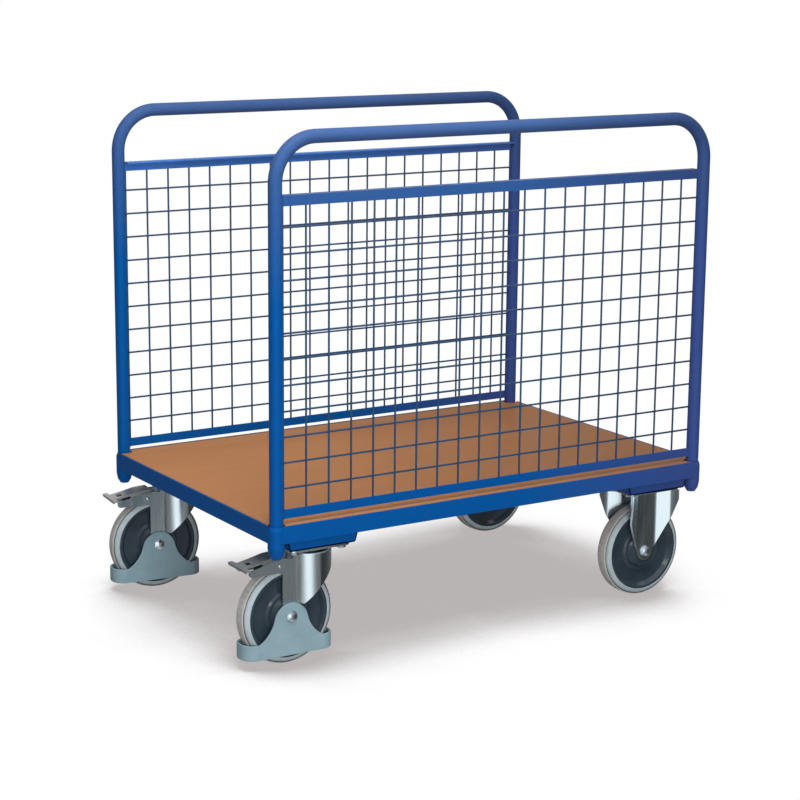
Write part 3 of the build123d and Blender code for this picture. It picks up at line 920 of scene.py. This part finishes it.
# Swivel forks: pressed from one steel sheet, with a round head over the ball race, a skirt in front,
# two flat legs down to the axle and two arms behind that carry the brake pedal. Zinc plated.
fork_sheet = 4.0 * mm
leg_face = 26.5 * mm
leg_end_r = 17.0 * mm
head_r = 47.0 * mm
head_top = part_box("right_swivel_fork")[1].z
head_rim_round = 3.5 * mm
arm_reach = 143.0 * mm
arm_corner = 4.0 * mm
arm_fillet_r = 8.0 * mm
arm_bottom = head_top - 36 * mm
arm_crest = head_top - 10 * mm
arm_crest_end = 82.0 * mm
arm_tip = head_top - 24 * mm
knee = (-38.5 * mm, axle_z + 25 * mm)
skirt_foot = (-28 * mm, axle_z + 24 * mm)
skirt_lip = (head_r, head_top - 26 * mm)
fork_edge_round = 1.1 * mm
crease_blend = 0.15 * mm


# Distance along a path to the place where it first reaches x
def run_to(path, x):
    marks = lengths_along(path)
    if x <= path[0].x:
        return 0.0
    for i, (start, end) in enumerate(zip(path, path[1:])):
        if start.x <= x <= end.x:
            return marks[i] + (x - start.x) / (end.x - start.x) * (marks[i + 1] - marks[i])
    return marks[-1]


def arc_points(centre, radius, start, end, steps):
    points = []
    for i in range(steps + 1):
        angle = start + (end - start) * i / steps
        points.append((centre[0] + radius * math.cos(angle), centre[1] + radius * math.sin(angle)))
    return points


def swivel_fork_path():
    crease_x = -math.sqrt(head_r**2 - leg_face**2)
    crease = Vector((crease_x, -leg_face))
    start_angle = math.atan2(-leg_face, crease_x) + crease_blend / head_r
    skirt = [Vector(p) for p in arc_points((0, 0), head_r, start_angle, 0, 20)]
    leave = Vector((crease_x - crease_blend, -leg_face))
    blend = []
    for share in (0, 0.25, 0.5, 0.75):
        first = leave.lerp(crease, share)
        second = crease.lerp(skirt[0], share)
        blend.append(first.lerp(second, share))
    half = [Vector((-arm_reach, -leg_face)), *blend, *skirt]
    return half + [Vector((p.x, -p.y)) for p in reversed(half[:-1])]


def swivel_fork_blank(path, steps=12):
    leg_front = math.acos((knee[0] + trail) / leg_end_r)
    fillet = (-trail - leg_end_r - arm_fillet_r, arm_bottom - arm_fillet_r)
    edge = [(-arm_reach + arm_corner, arm_bottom)]
    edge += arc_points(fillet, arm_fillet_r, math.pi / 2, 0, 4)
    edge += arc_points((-trail, axle_z), leg_end_r, math.pi, 2 * math.pi - leg_front, steps)
    edge.append(knee)
    for i in range(steps + 1):
        share = i / steps
        x = skirt_foot[0] + (skirt_lip[0] - skirt_foot[0]) * share
        edge.append((x, skirt_foot[1] + (skirt_lip[1] - skirt_foot[1]) * share))
    crest = [
        (-head_r, head_top - head_rim_round),
        (-head_r, arm_crest),
        (-arm_crest_end, arm_crest),
        (-arm_reach, arm_tip),
        (-arm_reach, arm_bottom + arm_corner),
    ]
    total = lengths_along(path)[-1]
    lower = [(run_to(path, x), z) for x, z in edge]
    upper = [(run_to(path, x), z) for x, z in crest]
    lower_far = [(total - s, z) for s, z in reversed(lower[:-1])]
    upper_far = [(total - s, z) for s, z in reversed(upper)]
    return lower + lower_far + upper_far + upper


def swivel_fork_head():
    turn = math.atan2(leg_face, -math.sqrt(head_r**2 - leg_face**2))
    outline = arc_points((0, 0), head_r, -turn, turn, 40)
    outline += [(-head_r, leg_face), (-head_r, -leg_face)]
    low = head_top - fork_sheet
    rings = [[(x, y, low) for x, y in outline]]
    for i in range(5):
        angle = math.pi / 2 * i / 4
        shrink = 1 - head_rim_round * (1 - math.cos(angle)) / head_r
        z = head_top - head_rim_round * (1 - math.sin(angle))
        rings.append([(x * shrink, y * shrink, z) for x, y in outline])
    return loft(rings)


# A piece of a swivel castor, made in the castor's own frame
def castor_piece(side_name, piece, shapes, finish, body, node, slot, edge_round=0.0, at=Matrix()):
    shapes = [placed(shape, swivel_place(side_name) @ at) for shape in shapes]
    piece, body, node = (f"{side_name}_{name}" for name in (piece, body, node))
    add_piece(piece, shapes, [finish], body, node, slot, edge_round)


fork_path = swivel_fork_path()
for side_name in sides:
    wall = folded_sheet(swivel_fork_blank(fork_path), fork_path, level_place, fork_sheet)
    castor_piece(
        side_name, "pressed_fork", [wall, swivel_fork_head()], bright_zinc, "castor", "swivel_fork",
        "bright_zinc", fork_edge_round,
    )

# Foot guards: moulded blue-grey plastic, a band round the wheel just above the floor with a side
# plate each side that hangs on the axle bolt and keeps feet out of the wheel.
guard_wall = 4.0 * mm
guard_inner = 27.0 * mm
guard_low, guard_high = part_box("right_foot_guard")
guard_half_length = (guard_high.x - guard_low.x) / 2
guard_corner_r = 27.0 * mm
guard_bottom = 21.0 * mm
guard_band_top = 52.0 * mm
guard_foot = (71 * mm, guard_band_top)
guard_flank = (46 * mm, axle_z - 25 * mm)
guard_shoulder = (36.5 * mm, axle_z - 2 * mm)
guard_crest = (0, axle_z + 28 * mm)
guard_edge_round = 1.4 * mm
guard_dull = (122, 147, 157)
guard_clear = (132, 157, 167)
guard_roughness = (0.55, 0.68)
guard_plastic = mottled(
    "guard_plastic", guard_dull, guard_clear, 30, guard_roughness, gloss=500, depth=0.05 * mm, pits=1400
)


def arc_through(start, middle, end, steps=8):
    a, b, c = Vector(start), Vector(middle), Vector(end)
    ab, ac = b - a, c - a
    cross = 2 * (ab.x * ac.y - ab.y * ac.x)
    centre_x = a.x + (ac.y * ab.length_squared - ab.y * ac.length_squared) / cross
    centre_y = a.y + (ab.x * ac.length_squared - ac.x * ab.length_squared) / cross
    first = math.atan2(a.y - centre_y, a.x - centre_x)
    last = math.atan2(c.y - centre_y, c.x - centre_x)
    turn = (last - first) % (2 * math.pi)
    if cross < 0:
        turn -= 2 * math.pi
    radius = math.hypot(a.x - centre_x, a.y - centre_y)
    return arc_points((centre_x, centre_y), radius, first, first + turn, steps)


def foot_guard():
    outer = guard_inner + guard_wall
    reach = guard_half_length
    corners = [(reach, 0), (reach, outer), (-reach, outer)]
    corners += [(-reach, -outer), (reach, -outer), (reach, 0)]
    path = bent_path(corners, guard_corner_r, steps=8)
    total = lengths_along(path)[-1]
    far_shoulder = (-guard_shoulder[0], guard_shoulder[1])
    rise = arc_through(guard_foot, guard_flank, guard_shoulder)
    crown = arc_through(guard_shoulder, guard_crest, far_shoulder, 14)
    half = rise + crown[1:] + [(-x, z) for x, z in reversed(rise)][1:]
    top = [(0, guard_band_top)]
    top += [(total / 4 - x, z) for x, z in half]
    top += [(total * 3 / 4 - x, z) for x, z in half]
    top.append((total, guard_band_top))
    outline = [(0, guard_bottom), (total, guard_bottom)] + top[::-1]
    return folded_sheet(outline, path, lambda x, y, z: (x - trail, y, z), guard_wall)


for side_name in sides:
    castor_piece(
        side_name, "guard_shell", [foot_guard()], guard_plastic, "castor", "foot_guard",
        "guard_plastic", guard_edge_round,
    )

# Brake pedals: bent from dull zinc plated sheet, hung between the fork arms on a riveted pin, with a
# toothed lip to tread on. A black rubber block under the stem presses on the tyre.
pedal_sheet = 3.0 * mm
pedal_half = 21.0 * mm
pedal_corner = 3.0 * mm
pedal_lip_half = 39.0 * mm
pedal_lip_corner = 2.0 * mm
pedal_lip_taper = 1.0 * mm
pedal_waist = 2.5 * mm
pedal_edge_round = 0.7 * mm
pedal_bend_r = 14.0 * mm
pedal_crown = ((-66, 3), (-92, 5), (-117, 11), (-147, 17), (-156, 18))
pedal_lip_start = 147.0 * mm
pedal_window = (126.0 * mm, 138.0 * mm)
pedal_window_half = 10.0 * mm
pedal_lug = ((-66, 5), (-117, 13), (-112, 16), (-84, 16), (-81, 24), (-76, 27), (-71, 24))
tooth_pitch = 5.2 * mm
tooth_height = 2.6 * mm
tooth_half = tooth_pitch * 0.42
pin_reach = 76.0 * mm
pin_drop = 22.0 * mm
rivet_r = 4.0 * mm
rivet_shank_r = 3.0 * mm
rivet_dome = 2.4 * mm
pedal_dull = (182, 184, 181)
pedal_clear = (201, 203, 200)
shoe_dark = (18, 18, 19)
shoe_pale = (34, 34, 36)
pedal_zinc = mottled("pedal_zinc", pedal_dull, pedal_clear, 90, (0.38, 0.5), metallic=0.9, detail=4)
shoe_rubber = mottled(
    "shoe_rubber", shoe_dark, shoe_pale, 700, 0.8, detail=2, spread=(0.35, 0.65), depth=0.08 * mm
)


def below_head(points):
    return [(x * mm, head_top - drop * mm) for x, drop in points]


def pedal_shapes():
    path = bent_path(below_head(pedal_crown), pedal_bend_r)
    flipped = [Vector((-p.x, p.y)) for p in path]
    lip_start = run_to(flipped, pedal_lip_start)
    end = lengths_along(path)[-1]
    half = [
        (0, pedal_half - pedal_corner),
        (pedal_corner, pedal_half),
        (lip_start - pedal_waist, pedal_half),
        (lip_start - pedal_lip_taper, pedal_half + pedal_lip_taper),
        (lip_start, pedal_lip_half - pedal_lip_corner),
        (lip_start + pedal_lip_corner, pedal_lip_half),
        (end, pedal_lip_half - pedal_lip_taper),
    ]
    outline = [(s, -t) for s, t in half] + half[::-1]
    window = [run_to(flipped, x) for x in pedal_window] + [-pedal_window_half, pedal_window_half]
    stem = folded_sheet(outline, path, lambda x, z, t: (x, -t, z), pedal_sheet, [window])
    lugs = []
    for across in (-1, 1):
        faces = (across * (pedal_half - pedal_sheet), across * pedal_half)
        lugs.append(slab(below_head(pedal_lug), faces, upright_place))
    back = path[-1]
    count = int(2 * pedal_lip_half / tooth_pitch)
    tooth_row = []
    for i in range(count):
        y = (i - (count - 1) / 2) * tooth_pitch
        tooth_row.append((back.x, y, back.y - pedal_sheet))
    tooth_face = [(-tooth_half, 0), (tooth_half, 0), (0, -tooth_height)]
    tooth = slab(tooth_face, (0, pedal_sheet), lambda y, z, x: (x, y, z))
    return [stem, *lugs, copies_at(tooth_row, tooth, pedal_zinc)]


def rivet_shape():
    half = [(rivet_shank_r, leg_face), (rivet_r, leg_face)]
    for i in range(1, 6):
        angle = math.pi / 2 * i / 5
        half.append((rivet_r * math.cos(angle), leg_face + rivet_dome * math.sin(angle)))
    profile = half[::-1] + [(r, -z) for r, z in half]
    at_pin = Matrix.Translation((-pin_reach, 0, head_top - pin_drop))
    return placed(turned(profile, steps=24), at_pin @ Matrix.Rotation(math.pi / 2, 4, "X"))


for side_name in sides:
    castor_piece(
        side_name, "tread_pedal", pedal_shapes(), pedal_zinc, "pedal", "brake_pedal", "bright_zinc",
        pedal_edge_round,
    )
    castor_piece(
        side_name, "pedal_rivet", [rivet_shape()], bright_zinc, "castor", "pedal_pin", "bright_zinc"
    )
    dress(f"{side_name}_brake_shoe", shoe_rubber)

# Wheels: grey elastic tyres moulded onto dark plastic cores, with a raised ring round the hub and a
# plain bearing pressed in. The tread is scuffed by the floor, the side walls stay clean.
core_dark = (40, 51, 60)
core_pale = (50, 62, 71)
tread_dark = (166, 165, 162)
tread_pale = (190, 189, 186)
wall_dark = (154, 167, 172)
wall_pale = (169, 182, 187)
# Painted shade: the groove beside each tread edge has its own dark colour for the shade inside it
groove_shade_dark = (74, 78, 80)
groove_shade_pale = (96, 100, 103)
core_plastic = mottled("core_plastic", core_dark, core_pale, 25, (0.14, 0.2))
tread_rubber = mottled(
    "tread_rubber", tread_dark, tread_pale, 120, 0.75, specular=0.2, detail=5, depth=0.1 * mm
)
wall_rubber = mottled("wall_rubber", wall_dark, wall_pale, 60, 0.6, depth=0.04 * mm, pits=900)
groove_painted_shade = mottled("groove_painted_shade", groove_shade_dark, groove_shade_pale, 200, 0.85, detail=4)
tyre_steps = 128
core_round = 0.9 * mm
facet_slack = 0.9985
tread_half_section = ((100, 0), (99.9, 8), (99.6, 11), (99.0, 12.4), (98.4, 12.9), (97.9, 13.0))
groove_half_section = ((97.3, 12.4), (96.7, 11.6), (96.0, 11.6), (95.5, 12.6))
wall_half_section = (
    (95.1, 14.6), (94.0, 16.2), (91.0, 18.4), (88.4, 19.9), (87.0, 20.4), (86.3, 20.2), (86.02, 19.6),
)
core_half_section = (
    (14.02, 21.5), (32, 21.5), (38, 11), (38, 15), (44, 15),
    (48, 11), (74, 11), (80, 20), (86, 20), (86, 10),
)


def tyre():
    half = [*tread_half_section, *groove_half_section, *wall_half_section]
    section = half[::-1] + [(r, -y) for r, y in half[1:]]
    shape = turned([(r * mm, y * mm) for r, y in section], tyre_steps)
    tread_edge = tread_half_section[-1][0] * facet_slack * mm
    groove_edge = groove_half_section[-1][0] * facet_slack * mm
    for face in shape.faces:
        middle = face.calc_center_median()
        r = math.hypot(middle.x, middle.y)
        face.material_index = 0 if r > tread_edge else 1 if r > groove_edge else 2
    return shape


def wheel_core():
    half = [(r * mm, y * mm) for r, y in core_half_section]
    section = [(p.x, p.y) for p in bent_path(half, core_round, steps=3)]
    return turned(section + [(r, -y) for r, y in reversed(section)], tyre_steps)


for side_name in sides:
    for end_name, place in (
        ("rear", swivel_place(side_name) @ swivel_axle),
        ("front", fixed_place(side_name) @ fixed_axle),
    ):
        wheel = f"{end_name}_{side_name}"
        for piece, shape, finishes, node, slot in (
            ("tyre_ring", tyre(), [tread_rubber, groove_painted_shade, wall_rubber], "tyre", "grey_tyre"),
            ("core_disc", wheel_core(), [core_plastic], "wheel_core", "core_plastic"),
        ):
            shape = placed(shape, place)
            add_piece(f"{wheel}_{piece}", [shape], finishes, f"{wheel}_wheel", f"{wheel}_{node}", slot)
        dress(f"{wheel}_bearing", race_steel)
    dress(f"{side_name}_swivel_axle_tube", race_steel)
dress("fixed_axle_tubes", race_steel)

# Axle bolts: zinc plated hexagon bolts with a washer under the head and a nut on the left.
# They clamp the axle tube between the fork legs and, at the rear, hold the foot guard.
axle_r = 6.0 * mm
axle_chamfer = 1.0 * mm
axle_across = 19.0 * mm
axle_head = 7.5 * mm
axle_nut = 10.0 * mm
axle_overrun = 4.0 * mm
axle_dome = 2.2 * mm
washer_r = 12.0 * mm
washer_height = 1.8 * mm
guard_face = guard_inner + guard_wall


def axle_bolt(grip):
    tip = -grip - axle_nut - axle_overrun
    chamfer = [(0, tip), (axle_r - axle_chamfer, tip), (axle_r, tip + axle_chamfer)]
    shank = turned([*chamfer, (axle_r, grip), (0, grip)], steps=24)
    head = hexagon_head(axle_across, axle_head, washer_r, washer_height, axle_dome)
    return [shank, placed(head, Matrix.Translation((0, 0, grip)))]


def axle_nut_shape(grip):
    nut = hexagon_head(axle_across, axle_nut, washer_r, washer_height)
    return placed(nut, Matrix.Rotation(math.pi, 4, "X") @ Matrix.Translation((0, 0, grip)))


fixed_bolts = []
fixed_nuts = []
for side_name in sides:
    for piece, shapes in (("bolt", axle_bolt(guard_face)), ("nut", [axle_nut_shape(guard_face)])):
        castor_piece(
            side_name, f"hub_{piece}", shapes, bright_zinc, "castor", f"swivel_axle_{piece}",
            "bright_zinc", at=swivel_axle,
        )
    place = fixed_place(side_name) @ fixed_axle
    fixed_bolts += [placed(shape, place) for shape in axle_bolt(leg_face)]
    fixed_nuts.append(placed(axle_nut_shape(leg_face), place))
for piece, shapes in (("bolts", fixed_bolts), ("nuts", fixed_nuts)):
    node = f"fixed_axle_{piece}"
    add_piece(f"fixed_hub_{piece}", shapes, [bright_zinc], "chassis", node, "bright_zinc")

# Fixed forks: a top plate with two legs pressed in one, zinc plated. The edges of each leg flare out
# in two bends to stiffen it, and the rim of each leg's edge has a darker finish than the faces.
plate_length = 135.0 * mm
plate_width = 110.0 * mm
fixed_flare = ((-60.5, 59), (-52.5, 43), (-25, 26.5), (25, 26.5), (52.5, 43), (60.5, 59))
fixed_bend_r = 12.0 * mm
fixed_leg_end_r = 20.0 * mm
fixed_shoulder = (52.5 * mm, 67.0 * mm)
fixed_wing_drop = 22.0 * mm
fixed_edge_round = 0.5 * mm
edge_dark = (58, 63, 66)
edge_pale = (82, 88, 92)
edge_zinc = mottled(
    "edge_zinc", edge_dark, edge_pale, 300, (0.42, 0.6), metallic=0.9, stretch=(1, 1, 0.2)
)


def fixed_leg(across):
    corners = [(x * mm, -y * mm) for x, y in fixed_flare]
    path = bent_path(corners, fixed_bend_r, steps=6)
    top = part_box("right_fixed_fork")[1].z - fixed_plate_sheet
    reach = corners[-1][0]
    half, drop = fixed_shoulder
    edge = [(-reach, top), (-reach, top - fixed_wing_drop), (-half, top - drop)]
    edge += arc_points((0, axle_z), fixed_leg_end_r, math.pi, 2 * math.pi, 12)
    edge += [(half, top - drop), (reach, top - fixed_wing_drop), (reach, top)]
    outline = [(run_to(path, x), z) for x, z in edge]
    leg = folded_sheet(outline, path, level_place, fork_sheet, cut_edge=1)
    return placed(leg, Matrix.Rotation(0 if across < 0 else math.pi, 4, "Z"))


for side_name in sides:
    node = f"{side_name}_fixed_fork"
    low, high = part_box(node)
    place = fixed_place(side_name)
    middle = (low + high) / 2
    plate_half = Vector((plate_length / 2, plate_width / 2, 0))
    outline = rounded_rectangle(middle - plate_half, middle + plate_half, plate_corner_r)
    plate = slab(outline, (high.z - fixed_plate_sheet, high.z))
    legs = [placed(fixed_leg(end), place) for end in (-1, 1)]
    add_piece(
        f"{side_name}_flared_fork",
        [plate, *legs],
        [bright_zinc, edge_zinc],
        "chassis",
        node,
        "bright_zinc",
        fixed_edge_round,
    )

# Studio: a white floor with a soft even shadow under the trolley, and soft lights overhead, over the
# rear of the deck, low beside the camera and behind. Metal mirrors a bright window, grey walls, a
# white ceiling and a pale ground that the camera doesn't see.
floor_half = 40.0
shadow_grey = (185, 180, 180)
floor_white = (255, 255, 255)
shadow_reach = 0.42
shadow_run = (0.575, 0.8)
floor_bounce = 0.35
floor_mesh = bpy.data.meshes.new("studio_floor")
floor_corners = [(x * floor_half, y * floor_half, 0) for x, y in ((-1, -1), (1, -1), (1, 1), (-1, 1))]
floor_mesh.from_pydata(floor_corners, [], [(0, 1, 2, 3)])
floor = bpy.data.objects.new("studio_floor", floor_mesh)
bpy.context.scene.collection.objects.link(floor)
floor_paint = bpy.data.materials.new("floor_paint")
floor_paint.use_nodes = True
floor_mesh.materials.append(floor_paint)


def mixed(tree, share, first, second):
    return outputs_of(tree, "ShaderNodeMixShader", {"Fac": share, 1: first, 2: second})["Shader"]


tree = floor_paint.node_tree
tree.nodes.clear()
rays = outputs_of(tree, "ShaderNodeLightPath")
# The camera sees the floor glow white, with a painted shadow that greys it where the trolley hides the
# sky
cover = outputs_of(tree, "ShaderNodeAmbientOcclusion", {"Distance": shadow_reach}, samples=16)["AO"]
shaded = tinted(tree, cover, tuple(zip(shadow_run, (shadow_grey, floor_white))))
seen = outputs_of(tree, "ShaderNodeEmission", {"Color": shaded})["Emission"]
bounce = {"Color": (floor_bounce, floor_bounce, floor_bounce, 1)}
matt = outputs_of(tree, "ShaderNodeBsdfDiffuse", bounce)["BSDF"]
clear = outputs_of(tree, "ShaderNodeBsdfTransparent")["BSDF"]
unseen = mixed(tree, rays["Is Glossy Ray"], matt, clear)
shown = mixed(tree, rays["Is Camera Ray"], unseen, seen)
feed(tree, tree.nodes.new("ShaderNodeOutputMaterial"), {"Surface": shown})

world = bpy.data.worlds.new("studio_world")
bpy.context.scene.world = world
world.use_nodes = True
sky = world.node_tree
sky.nodes.clear()
rays = outputs_of(sky, "ShaderNodeLightPath")
direction = outputs_of(sky, "ShaderNodeTexCoord")["Generated"]


# A surround whose brightness follows how far a direction lies towards the given one
def surround(towards, stops, strength=1.0):
    ways = {0: direction, 1: towards}
    nearness = outputs_of(sky, "ShaderNodeVectorMath", ways, operation="DOT_PRODUCT")["Value"]
    greys = [(place, (value, value, value)) for place, value in stops]
    shade = tinted(sky, levels(sky, nearness, 0, 1, -1, 1), greys)
    glow = {"Color": shade, "Strength": strength}
    return outputs_of(sky, "ShaderNodeBackground", glow)["Background"]


def added(first, second):
    return outputs_of(sky, "ShaderNodeAddShader", {0: first, 1: second})["Shader"]


fill = surround((0.35, -0.94, 0), ((0.0, 172), (0.12, 150), (0.3, 105), (0.5, 118), (1.0, 172)))
wall_tones = ((0.0, 190), (0.06, 130), (0.15, 88), (0.35, 70), (0.6, 42), (0.74, 42))
window_tones = ((0.77, 126), (0.79, 122), (0.83, 102), (0.88, 112), (0.94, 168), (0.97, 255))
walls = surround((-0.423, -0.906, 0), wall_tones + window_tones, strength=1.2)
ceiling = surround((0, 0, 1), ((0.53, 0), (0.6, 125), (0.78, 125), (0.9, 255)))
ground = surround((0, 0, -1), ((0.74, 0), (0.92, 170)))
room = added(walls, added(ceiling, ground))
backdrop = outputs_of(sky, "ShaderNodeBackground", {"Color": (1, 1, 1, 1)})["Background"]
mirror_or_glass = reckoned(sky, "MAXIMUM", rays["Is Glossy Ray"], rays["Is Transmission Ray"])
unseen = mixed(sky, mirror_or_glass, fill, room)
shown = mixed(sky, rays["Is Camera Ray"], unseen, backdrop)
feed(sky, sky.nodes.new("ShaderNodeOutputWorld"), {"Surface": shown})


def lamp(name, kind, energy, place, aim, mirrored=False, **settings):
    light = bpy.data.lights.new(name, kind)
    light.energy = energy
    for label, value in settings.items():
        setattr(light, label, value)
    stand = bpy.data.objects.new(name, light)
    stand.location = place
    stand.rotation_euler = (Vector(aim) - Vector(place)).to_track_quat("-Z", "Y").to_euler()
    stand.visible_glossy = mirrored
    bpy.context.scene.collection.objects.link(stand)


lamp("overhead_light", "SUN", 1.25, (0.0, -1.0, 4.0), (0, 0, 0), angle=math.radians(50))
lamp("top_light", "AREA", 27, (-0.6, -1.0, 2.3), (-0.2, 0, 0.3), size=1.0)
lamp("key_light", "AREA", 112, (-1.9, -4.4, 0.75), (-0.1, 0, 0.4), size=1.4)
lamp("back_light", "AREA", 80, (1.9, 4.4, 0.75), (0.1, 0, 0.4), size=1.4)
lamp(
    "window_light", "AREA", 16, (-3.4, -3.2, 2.6), (0, 0, 0.5),
    mirrored=True, shape="RECTANGLE", size=0.6, size_y=1.6,
)

# Camera: the photograph's place and lens, worked out from the trolley's straight edges. It stands
# off the right side, towards the rear end, and looks a little down.
photo_lens = 94.87
photo_yaw = -0.5641
photo_pitch = 0.2156
photo_roll = 0.0089
bed_x = (post_x[-1] + post_x[1]) / 2
camera_place = Vector((-2.3857 + bed_x, -3.7401, 1.3911))
level_right = Vector((math.cos(photo_yaw), math.sin(photo_yaw), 0))
forward = Vector(
    (
        -math.sin(photo_yaw) * math.cos(photo_pitch),
        math.cos(photo_yaw) * math.cos(photo_pitch),
        -math.sin(photo_pitch),
    )
)
level_up = level_right.cross(forward)
right = level_right * math.cos(photo_roll) + level_up * math.sin(photo_roll)
up = level_up * math.cos(photo_roll) - level_right * math.sin(photo_roll)
lens = bpy.data.cameras.new("photo_camera")
lens.lens = photo_lens
lens.sensor_width = 36.0
lens.clip_end = 100.0
camera = bpy.data.objects.new("photo_camera", lens)
stand = Matrix((right, up, -forward)).transposed().to_4x4()
stand.translation = camera_place
camera.matrix_world = stand
bpy.context.scene.collection.objects.link(camera)
bpy.context.scene.camera = camera
bpy.context.scene.view_settings.view_transform = "Standard"
